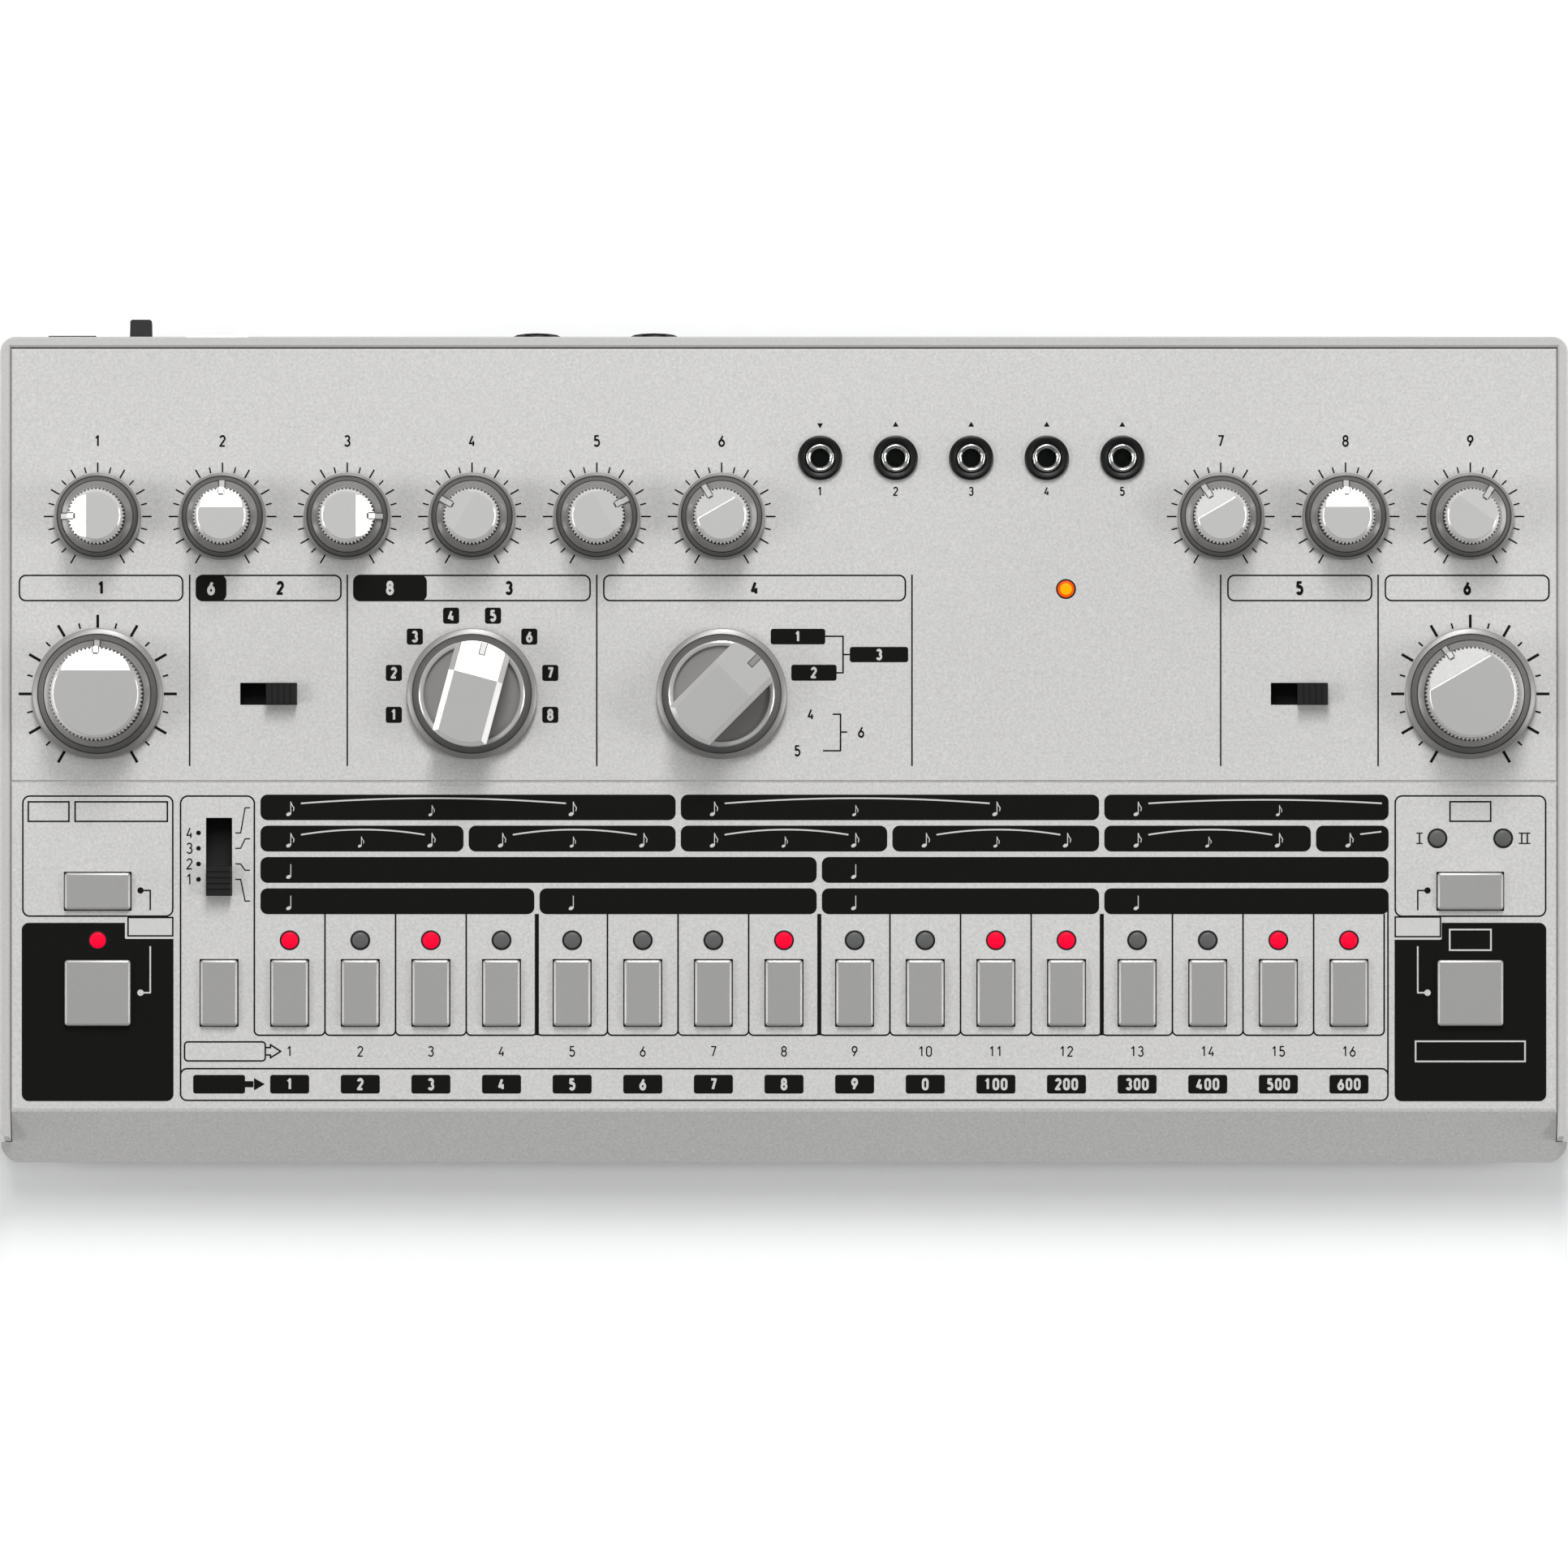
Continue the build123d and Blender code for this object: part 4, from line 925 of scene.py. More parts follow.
class Ink:
    """A layer of print in the making, drawn in the panel's own millimetres."""

    LEVELS = 7
    LEVEL_STEP = 0.0015

    def __init__(self, level: float = 0.02, depth: float = 0.03) -> None:
        """Start an empty layer.

        Args:
            level: The height of its upper face over the panel.
            depth: How deep it reaches down from there.
        """
        self.shape = bmesh.new()
        self.level = level
        self.depth = depth
        self.laid = 0

    def add(self, flat: bmesh.types.BMesh, place: Matrix = Matrix()) -> None:
        """Add a flat shape to the layer, a hair higher than the last one, so that two never share a plane."""
        self.laid += 1
        join(self.shape, flat, Matrix.Translation((0, 0, self.laid % self.LEVELS * self.LEVEL_STEP)) @ place)

    @staticmethod
    def sheet(low: Point, high: Point, radius: float = 0.0) -> bmesh.types.BMesh:
        """A flat rectangle with rounded corners.

        Args:
            low: Its lower left corner.
            high: Its upper right corner.
            radius: The rounding of its corners.

        Returns:
            The flat shape.
        """
        flat = bmesh.new()
        middle = Matrix.Translation(((low[0] + high[0]) / 2, (low[1] + high[1]) / 2, 0))
        size = Matrix.Diagonal((high[0] - low[0], high[1] - low[1], 1, 1))
        bmesh.ops.create_grid(flat, x_segments=1, y_segments=1, size=0.5, matrix=middle @ size)
        if radius:
            bmesh.ops.bevel(flat, geom=flat.verts, offset=radius, offset_type="OFFSET", segments=8,
                            profile=0.5, affect="VERTICES", material=-1)
        return flat

    def block(self, low: Point, high: Point, radius: float = 0.0) -> None:
        """Print a filled rectangle with rounded corners."""
        self.add(self.sheet(low, high, radius))

    def outline(self, low: Point, high: Point, line: float = 0.27, radius: float = 0.0,
                open_below: float | None = None, open_above: float | None = None) -> None:
        """Print the outline of a rectangle.

        Args:
            low: The lower left corner, at the middle of the line.
            high: The upper right corner, at the middle of the line.
            line: The line's width.
            radius: The rounding of the corners.
            open_below: The v below which nothing is printed.
            open_above: The v above which nothing is printed.
        """
        half = line / 2
        flat = self.sheet((low[0] - half, low[1] - half), (high[0] + half, high[1] + half), radius)
        inner = flat.faces[:]
        bmesh.ops.inset_individual(flat, faces=inner, thickness=line, use_even_offset=True)
        bmesh.ops.delete(flat, geom=inner, context="FACES")
        for limit, away in ((open_below, -1), (open_above, 1)):
            if limit is not None:
                bmesh.ops.bisect_plane(flat, geom=flat.verts[:] + flat.edges[:] + flat.faces[:],
                                       plane_co=(0, limit, 0), plane_no=(0, away, 0), clear_outer=True)
        self.add(flat)

    def stroke(self, start: Point, end: Point, width: float = 0.27) -> None:
        """Print a straight stroke.

        Args:
            start: Its first end.
            end: Its other end.
            width: Its width.
        """
        length = hypot(end[0] - start[0], end[1] - start[1])
        turn = Matrix.Rotation(atan2(end[1] - start[1], end[0] - start[0]), 4, "Z")
        self.add(self.sheet((0, -width / 2), (length, width / 2)), Matrix.Translation((*start, 0)) @ turn)

    def path(self, points: list[Point], width: float = 0.27) -> None:
        """Print strokes from point to point, with round joints.

        Args:
            points: The points.
            width: The strokes' width.
        """
        for start, end in zip(points, points[1:]):
            self.stroke(start, end, width)
        for point in points[1:-1]:
            self.dot(point, width / 2)

    def dot(self, centre: Point, radius: float, sides: int = 24) -> None:
        """Print a filled round dot.

        Args:
            centre: Its middle.
            radius: Its radius.
            sides: How many sides its edge has.
        """
        flat = bmesh.new()
        bmesh.ops.create_circle(flat, cap_ends=True, segments=sides, radius=radius)
        self.add(flat, Matrix.Translation((*centre, 0)))

    def arc(self, start: Point, end: Point, rise: float, width: float = 0.3) -> None:
        """Print a shallow arc over two points.

        Args:
            start: Its left end.
            end: Its right end, at the same v.
            rise: How far its middle rises.
            width: Its width.
        """
        half = (end[0] - start[0]) / 2
        radius = (half * half + rise * rise) / (2 * rise)
        centre = (start[0] + half, start[1] + rise - radius, 0)
        sweep = 2 * atan2(half, radius - rise)
        away = Vector((half, radius - rise, 0)).normalized()
        flat = bmesh.new()
        ends = [flat.verts.new(Vector(centre) + away * (radius + side * width / 2)) for side in (-1, 1)]
        edge = flat.edges.new(ends)
        bmesh.ops.spin(flat, geom=[*ends, edge], cent=centre, axis=(0, 0, 1), angle=sweep, steps=24)
        bmesh.ops.recalc_face_normals(flat, faces=flat.faces)
        self.add(flat)

    def ticks(self, centre: Point, angles: range, inner: float, outer: float, width: float) -> None:
        """Print radial ticks round a knob.

        Args:
            centre: The knob's place.
            angles: Degrees clockwise from straight up.
            inner: Where each tick starts.
            outer: Where it ends.
            width: Its width.
        """
        for angle in angles:
            place = Matrix.Translation((*centre, 0)) @ Matrix.Rotation(radians(-angle), 4, "Z")
            self.add(self.sheet((-width / 2, inner), (width / 2, outer)), place)

    def number(self, words: str, centre: Point, height: float, weight: Weight = Weight.PLAIN) -> None:
        """Print a plain number.

        Args:
            words: Its digits.
            centre: The place of its middle.
            height: The height of its digits.
            weight: How heavy its strokes are.
        """
        pen = weight.value
        tall = 1 - pen
        wide = 0.56 - pen
        step = 0.56 + 0.12
        left = -(step * len(words) - 0.12) / 2
        for i, digit in enumerate(words):
            flat = Ink()
            for line in DIGIT_LINES.get(digit, ()):
                flat.path([(pen / 2 + x * wide, pen / 2 + y * tall) for x, y in line], pen)
            for (x, y), (rx, ry), start, sweep in DIGIT_BOWS.get(digit, ()):
                flat.bow((pen / 2 + x * wide, pen / 2 + y * tall), rx * wide, ry * tall, start, sweep, pen)
            place = Matrix.Translation((*centre, 0)) @ Matrix.Diagonal((height, height, 1, 1))
            self.add(flat.shape, place @ Matrix.Translation((left + i * step, -0.5, 0)))

    def bow(self, centre: Point, across: float, along: float, start: float, sweep: float, width: float) -> None:
        """Print a part of an oval.

        Args:
            centre: Its middle.
            across: Its half width.
            along: Its half height.
            start: Where it starts, in degrees anticlockwise from the right.
            sweep: How far it goes, anticlockwise.
            width: Its width.
        """
        flat = bmesh.new()
        turn = Matrix.Rotation(radians(start), 4, "Z")
        ends = [flat.verts.new(turn @ Vector((across + side * width / 2, 0, 0))) for side in (-1, 1)]
        edge = flat.edges.new(ends)
        bmesh.ops.spin(flat, geom=[*ends, edge], cent=(0, 0, 0), axis=(0, 0, 1), angle=radians(sweep),
                       steps=max(6, int(sweep / 15)), use_merge=sweep > 359)
        self.add(flat, Matrix.Translation((*centre, 0)) @ Matrix.Diagonal((1, along / across, 1, 1)))

    def note(self, foot: Point, height: float = 2.9, tail: bool = True) -> None:
        """Print a plain note: an oval head, a stem and a tail.

        Args:
            foot: The middle of its head.
            height: Its height from head to stem top.
            tail: Whether it has a tail.
        """
        size = height / 2.9
        head = bmesh.new()
        bmesh.ops.create_circle(head, cap_ends=True, segments=20, radius=0.42 * size)
        turn = Matrix.Rotation(radians(25), 4, "Z")
        self.add(head, Matrix.Translation((*foot, 0)) @ turn @ Matrix.Diagonal((1.2, 0.8, 1, 1)))
        stem_u = foot[0] + 0.42 * size
        top = foot[1] + 2.45 * size
        self.stroke((stem_u, foot[1]), (stem_u, top), 0.16 * size)
        if tail:
            bend = [(stem_u, top - 0.1), (stem_u + 0.28 * size, top - 0.75 * size),
                    (stem_u + 0.62 * size, top - 1.2 * size), (stem_u + 0.5 * size, top - 1.85 * size)]
            self.path(bend, 0.17 * size)

    def print_on(self, plane: PanelPlane, name: str, finish: Finish) -> bpy.types.Object:
        """Give the layer its thickness and put it on the panel.

        Args:
            plane: The panel's plane.
            name: The piece's name.
            finish: Its finish.

        Returns:
            The piece.
        """
        bmesh.ops.translate(self.shape, vec=(0, 0, self.level), verts=self.shape.verts)
        bmesh.ops.solidify(self.shape, geom=self.shape.faces[:], thickness=self.depth)
        bmesh.ops.recalc_face_normals(self.shape, faces=self.shape.faces)
        return piece(name, self.shape, plane.place(), HOUSING, "case", finish)


@dataclass(frozen=True)
class NoteRow:
    """A row of long and short notes over the steps, counted from 1, with arcs from step to step."""

    foot: float
    short_foot: float
    arc_v: float
    long_steps: tuple[int, ...]
    short_steps: tuple[int, ...]
    arcs: tuple[tuple[int, int], ...]


UPPER_NOTES = NoteRow(57.6, 57.5, 59.7, (1, 5, 7, 11, 13), (3, 9, 15), ((1, 5), (7, 11)))
LOWER_NOTES = NoteRow(51.5, 51.4, 53.6, (1, 3, 4, 6, 7, 9, 10, 12, 13, 15, 16), (2, 5, 8, 11, 14),
                      ((1, 3), (4, 6), (7, 9), (10, 12), (13, 15)))


@dataclass
class PanelPrint:
    """Everything that is printed on the panel: scales, frames, bars, notes, numbers and signs."""

    plane: PanelPlane
    line: float = 0.31
    open_level: float = 0.035
    box_level: float = 0.045
    whole_ticks: range = range(-150, 151, 30)
    half_ticks: range = range(-135, 136, 30)
    short_note: float = 2.2
    tag_radius: float = 0.5
    block_radius: float = 1.4
    header_low: float = 98.99
    header_high: float = 104.2
    header_radius: float = 1.4
    divider_low: float = 66.94
    row_left: float = -101.85
    row_right: float = 117.62
    cell_low: float = 14.59
    number_row: float = 11.46
    tag_row: float = 5.07

    @cached_property
    def step_line(self) -> Point:
        """The u of the first step button and the pitch of the row."""
        first, last = (self.plane.middle(body)[0] for body in (STEP_BUTTONS[0], STEP_BUTTONS[-1]))
        return first, (last - first) / (len(STEP_BUTTONS) - 1)

    def step_u(self, step: float) -> float:
        """The u of a step button, counted from 1, or of a place between two."""
        first, pitch = self.step_line
        return first + (step - 1) * pitch

    def print_pair(self, ink: Ink, name: str, open_ink: Ink, open_name: str) -> None:
        """Print a black layer and the signs left open in it."""
        ink.print_on(self.plane, name, BLACK_INK)
        open_ink.print_on(self.plane, open_name, BARE_SIGN)

    def knob_scales(self) -> None:
        """Ticks round the knobs and number tags round the selectors."""
        ink = Ink()
        for body in SMALL_KNOBS:
            spot = self.plane.axis_spot(body)
            ink.ticks((spot.x, spot.y), self.whole_ticks, 8.6, 10.5, 0.3)
            ink.ticks((spot.x, spot.y), self.half_ticks, 8.7, 9.9, 0.28)
        for body in LARGE_KNOBS:
            spot = self.plane.axis_spot(body)
            ink.ticks((spot.x, spot.y), self.whole_ticks, 12.85, 15.4, 0.54)
            ink.ticks((spot.x, spot.y), self.half_ticks, 13.1, 14.2, 0.34)
        ink.print_on(self.plane, "printed_knob_scales", BLACK_INK)

    def headers(self) -> None:
        """Section headers, dividers and their plain numbers."""
        ink, open_ink = Ink(), Ink(self.open_level)
        spans = ((-148.88, -116.83), (-114.46, -86.04), (-83.83, -37.57), (-35.21, 23.76), (86.2, 114.46),
                 (116.83, 148.96))
        half = self.line / 2
        for left, right in spans:
            ink.outline((left + half, self.header_low + half), (right - half, self.header_high - half),
                        self.line, self.header_radius)
        ink.block((-114.46, self.header_low), (-108.46, self.header_high), self.header_radius)
        ink.block((-83.83, self.header_low), (-69.47, self.header_high), self.header_radius)
        middle = (self.header_low + self.header_high) / 2
        for number, u in enumerate((-132.8, -98.0, -53.5, -5.7, 100.3, 132.9), 1):
            ink.number(str(number), (u, middle), 2.7, Weight.BOLD)
        open_ink.number("6", (-111.46, middle), 2.7, Weight.BOLD)
        open_ink.number("8", (-76.65, middle), 2.7, Weight.BOLD)
        for u in (-115.61, -84.95, -36.42, 24.9, 84.94, 115.57):
            ink.stroke((u, self.divider_low), (u, self.header_high), 0.3)
        self.print_pair(ink, "printed_headers", open_ink, "open_header_numbers")

    def knob_numbers(self) -> None:
        """A plain number over each small knob and under each jack, and the jacks' little triangles."""
        ink = Ink()
        for number, body in enumerate(SMALL_KNOBS, 1):
            spot = self.plane.axis_spot(body)
            ink.number(str(number), (spot.x, 130.2), 2.3)
        for number, point in enumerate(mounts_like("panel_jack_"), 1):
            spot = self.plane.spot(point)
            ink.number(str(number), (spot.x, 120.4), 1.8)
            flat = bmesh.new()
            bmesh.ops.create_circle(flat, cap_ends=True, segments=3, radius=0.66)
            turn = 180 if number == 1 else 0
            ink.add(flat, Matrix.Translation((spot.x, 133.3, 0)) @ Matrix.Rotation(radians(turn), 4, "Z"))
        ink.print_on(self.plane, "printed_knob_and_jack_numbers", BLACK_INK)

    def selector_tags(self) -> None:
        """The number tags of the instrument selector and the tree of the mode selector."""
        ink, open_ink = Ink(), Ink(self.open_level)
        spot = self.plane.axis_spot("instrument_selector")
        for number in range(8):
            angle = radians(-105 + 30 * number)
            u, v = spot.x + 15.75 * sin(angle), spot.y + 15.75 * cos(angle)
            ink.block((u - 1.57, v - 1.57), (u + 1.57, v + 1.57), self.tag_radius)
            open_ink.number(str(number + 1), (u, v), 2.25, Weight.BOLD)
        for low, high in (((-2.59, 90.62), (8.02, 93.67)), ((1.42, 83.56), (10.23, 86.68)),
                          ((12.79, 87.15), (24.16, 90.15))):
            ink.block(low, high, self.tag_radius)
        for number, (u, v) in enumerate(((2.7, 92.14), (5.8, 85.12), (18.5, 88.65)), 1):
            open_ink.number(str(number), (u, v), 2.2, Weight.BOLD)
        ink.path([(8.0, 92.2), (11.49, 92.2), (11.49, 85.1), (10.2, 85.1)], 0.3)
        ink.stroke((11.49, 88.65), (12.9, 88.65), 0.3)
        ink.path([(9.47, 77.04), (10.99, 77.04), (10.99, 69.94), (7.58, 69.94)], 0.3)
        ink.stroke((10.99, 73.57), (12.3, 73.57), 0.3)
        for number, (u, v) in zip((4, 5, 6), ((5.2, 77.04), (2.6, 69.94), (15.0, 73.57))):
            ink.number(str(number), (u, v), 2.2)
        self.print_pair(ink, "printed_selector_tags", open_ink, "open_selector_numbers")

    def note_row(self, ink: Ink, row: NoteRow) -> None:
        """Print a row of notes with its arcs.

        Args:
            ink: The layer.
            row: The row.
        """
        for step in row.long_steps:
            ink.note((self.step_u(step) - 0.2, row.foot))
        for step in row.short_steps:
            ink.note((self.step_u(step) - 0.1, row.short_foot), self.short_note)
        for start, end in row.arcs:
            ink.arc((self.step_u(start) + 2.2, row.arc_v), (self.step_u(end) - 1.2, row.arc_v), 1.0)

    def bar_rows(self) -> None:
        """The four rows of black bars and the notes on them."""
        ink, open_ink = Ink(), Ink(self.open_level)
        rows = (
            (56.43, 61.41, (-20.58, 61.8)),
            (50.33, 55.37, (-61.84, -20.58, 20.58, 61.8, 102.99)),
            (44.24, 49.27, (6.86,)),
            (38.14, 43.18, (-48.06, 6.86, 61.8)),
        )
        half_gap = 0.5
        for low, high, gaps in rows:
            ends = [self.row_left, *gaps, self.row_right]
            for i, (left, right) in enumerate(zip(ends, ends[1:])):
                start = left + half_gap if i else left
                stop = right - half_gap if right != self.row_right else right
                ink.block((start, low), (stop, high), self.block_radius)
        # The last arc of each row of notes stops at the frame.
        self.note_row(open_ink, UPPER_NOTES)
        open_ink.arc((self.step_u(13) + 2.2, 59.7), (116.3, 60.2), 0.7)
        self.note_row(open_ink, LOWER_NOTES)
        open_ink.stroke((self.step_u(16) + 2.2, 53.7), (116.2, 54.2), 0.3)
        for foot, steps in ((45.4, (1, 9)), (39.3, (1, 5, 9, 13))):
            for step in steps:
                open_ink.note((self.step_u(step) - 0.2, foot), tail=False)
        self.print_pair(ink, "printed_bar_rows", open_ink, "open_notes")

    def step_field(self) -> None:
        """Cells, numbers and number tags of the sixteen steps, and the frame round the whole field."""
        ink, open_ink = Ink(), Ink(self.open_level)
        pitch = self.step_line[1]
        for step in range(1, 17):
            left = self.step_u(step - 0.5)
            right = 116.75 if step == 16 else left + pitch
            ink.outline((left, self.cell_low), (right, 45.0), self.line, 1.1, open_above=38.21)
        for step in (5, 9, 13):
            u = self.step_u(step - 0.5)
            ink.stroke((u, self.cell_low), (u, 38.2), 0.8)
        left, right = -117.38, 117.48
        first_edge = self.step_u(0.5)
        ink.outline((left, 20.0), (first_edge, 61.12), self.line, 1.6, open_below=38.0)
        ink.stroke((first_edge, 15.6), (first_edge, 38.2), self.line)
        ink.stroke((left, 3.0), (left, 38.2), self.line)
        ink.stroke((right, 3.0), (right, 40.0), self.line)
        ink.outline((left, 1.93), (right, 8.1), self.line, self.block_radius)
        labels = ("1", "2", "3", "4", "5", "6", "7", "8", "9", "0", "100", "200", "300", "400", "500", "600")
        for step, label in enumerate(labels, 1):
            u = self.step_u(step)
            ink.number(str(step), (u, self.number_row), 2.1, Weight.LIGHT)
            ink.block((u - 3.8, self.tag_row - 1.82), (u + 3.8, self.tag_row + 1.82), self.tag_radius)
            open_ink.number(label, (u, self.tag_row), 2.35, Weight.BOLD)
        ink.block((-114.94, 3.25), (-104.83, 6.88), self.tag_radius)
        ink.stroke((-105.0, self.tag_row), (-103.2, self.tag_row), 1.2)
        self.triangle(ink, (-102.4, self.tag_row), 1.4)
        ink.outline((-116.6, 9.6), (-100.9, 13.3), self.line, 0.8)
        ink.path([(-100.9, 12.2), (-99.9, 12.2), (-99.9, 12.75), (-97.9, 11.46), (-99.9, 10.2), (-99.9, 10.75),
                  (-100.9, 10.75)], self.line)
        self.print_pair(ink, "printed_step_field", open_ink, "open_step_numbers")

    @staticmethod
    def triangle(ink: Ink, centre: Point, radius: float) -> None:
        """Print a filled triangle that points to the right.

        Args:
            ink: The layer.
            centre: The triangle's middle.
            radius: The radius of the circle round it.
        """
        flat = bmesh.new()
        bmesh.ops.create_circle(flat, cap_ends=True, segments=3, radius=radius)
        ink.add(flat, Matrix.Translation((*centre, 0)) @ Matrix.Rotation(radians(-90), 4, "Z"))

    def scale_switch(self) -> None:
        """Numbers, dots and leader lines of the scale switch."""
        ink = Ink()
        for number, v in ((4, 53.96), (3, 50.96), (2, 47.92), (1, 44.92)):
            ink.number(str(number), (-115.65, v), 2.2, Weight.LIGHT)
            ink.dot((-113.89, v), 0.46)
        for low, high in ((53.96, 58.85), (50.96, 52.8), (47.92, 46.7), (44.92, 40.7)):
            ink.path([(-106.73, low), (-105.7, low), (-104.83, high), (-103.88, high)], 0.24)
        ink.print_on(self.plane, "printed_scale_switch", BLACK_INK)

    def sides(self) -> None:
        """Frames, black blocks and connecting lines at both ends of the panel."""
        ink, open_ink = Ink(), Ink(self.open_level)
        ink.outline((-148.07, 37.77), (-118.9, 61.12), self.line, 1.5)
        ink.outline((-147.0, 56.2), (-139.1, 60.0), self.line)
        ink.outline((-137.9, 56.2), (-119.95, 60.0), self.line)
        ink.outline((118.9, 37.75), (148.16, 61.15), self.line, 1.5)
        ink.outline((129.56, 56.22), (137.47, 60.02), self.line)
        ink.block((-148.28, 1.77), (-118.76, 36.47), self.block_radius)
        ink.block((118.77, 1.74), (148.29, 36.47), self.block_radius)
        ink.stroke((123.62, 51.9), (123.62, 53.9), 0.3)
        ink.path([(123.0, 53.9), (124.24, 53.9)], 0.24)
        ink.path([(123.0, 51.9), (124.24, 51.9)], 0.24)
        for u in (143.5, 144.6):
            ink.stroke((u, 51.9), (u, 53.9), 0.3)
        ink.path([(142.9, 53.9), (145.2, 53.9)], 0.24)
        ink.path([(142.9, 51.9), (145.2, 51.9)], 0.24)
        for side in (-1, 1):
            outer, inner = side * 125.18, side * 123.28
            ink.dot((outer, 42.76), 0.62)
            ink.path([(outer, 42.76), (inner, 42.76), (inner, 38.9)], 0.3)
            open_ink.path([(inner, 31.9), (inner, 22.87), (outer, 22.87)], 0.3)
            open_ink.dot((outer, 22.87), 0.62)
        open_ink.outline((129.5, 31.15), (137.52, 35.16), self.line)
        open_ink.outline((122.86, 9.5), (144.15, 13.42), self.line)
        for low, high in (((-127.75, 33.79), (-118.76, 37.64)), ((118.77, 33.63), (127.83, 37.73))):
            open_ink.block((low[0] - 0.45, low[1] - 0.45), (high[0] + 0.1, high[1]), 0.3)
        self.print_pair(ink, "printed_side_fields", open_ink, "open_side_signs")
        boxes = Ink(self.box_level)
        boxes.outline((-127.6, 33.93), (-118.9, 37.5), self.line)
        boxes.outline((118.9, 33.77), (127.7, 37.6), self.line)
        boxes.print_on(self.plane, "printed_side_boxes", BLACK_INK)

    def build(self) -> None:
        """Print everything."""
        self.knob_scales()
        self.headers()
        self.knob_numbers()
        self.selector_tags()
        self.bar_rows()
        self.step_field()
        self.scale_switch()
        self.sides()


# ---- Jacks ----


@dataclass
class PanelJacks:
    """The five jacks on the panel: black ring nuts round bright sleeves."""

    plane: PanelPlane
    ring: float = 4.33
    ring_height: float = 1.1
    sleeve: float = 2.7
    sleeve_height: float = 1.4
    bore: float = 1.775

    def build(self) -> None:
        """Build the nuts as one piece and the sleeves as another."""
        nuts, sleeves = bmesh.new(), bmesh.new()
        for point in mounts_like("panel_jack_"):
            spot = self.plane.spot(point)
            at = Matrix.Translation((spot.x, spot.y, 0))
            r, top = self.ring, self.ring_height
            join(nuts, turned([
                (self.sleeve + 0.02, 0), (r, 0), (r, top - 0.25), (r - 0.08, top - 0.1), (r - 0.25, top - 0.03),
                (3.98, top), (3.94, top - 0.12), (3.88, top - 0.12), (3.84, top), (3.1, top), (2.95, top - 0.1),
                (self.sleeve + 0.02, top - 0.35)], 80), at)
            r, top, bore = self.sleeve, self.sleeve_height, self.bore
            join(sleeves, turned([
                (bore, -2.15), (r, -2.15), (r, top - 0.2), (r - 0.1, top - 0.06), (r - 0.25, top),
                (bore + 0.5, top), (bore + 0.35, top - 0.08), (bore, top - 0.5)], 64), at)
        piece("panel_jack_nuts", nuts, self.plane.place(), HOUSING, "black_plastic", BLACK_NYLON,
              stands_for=("panel_jack_rings",))
        piece("panel_jack_bushes", sleeves, self.plane.place(), HOUSING, "bright_metal", NICKEL,
              stands_for=("panel_jack_sleeves",))


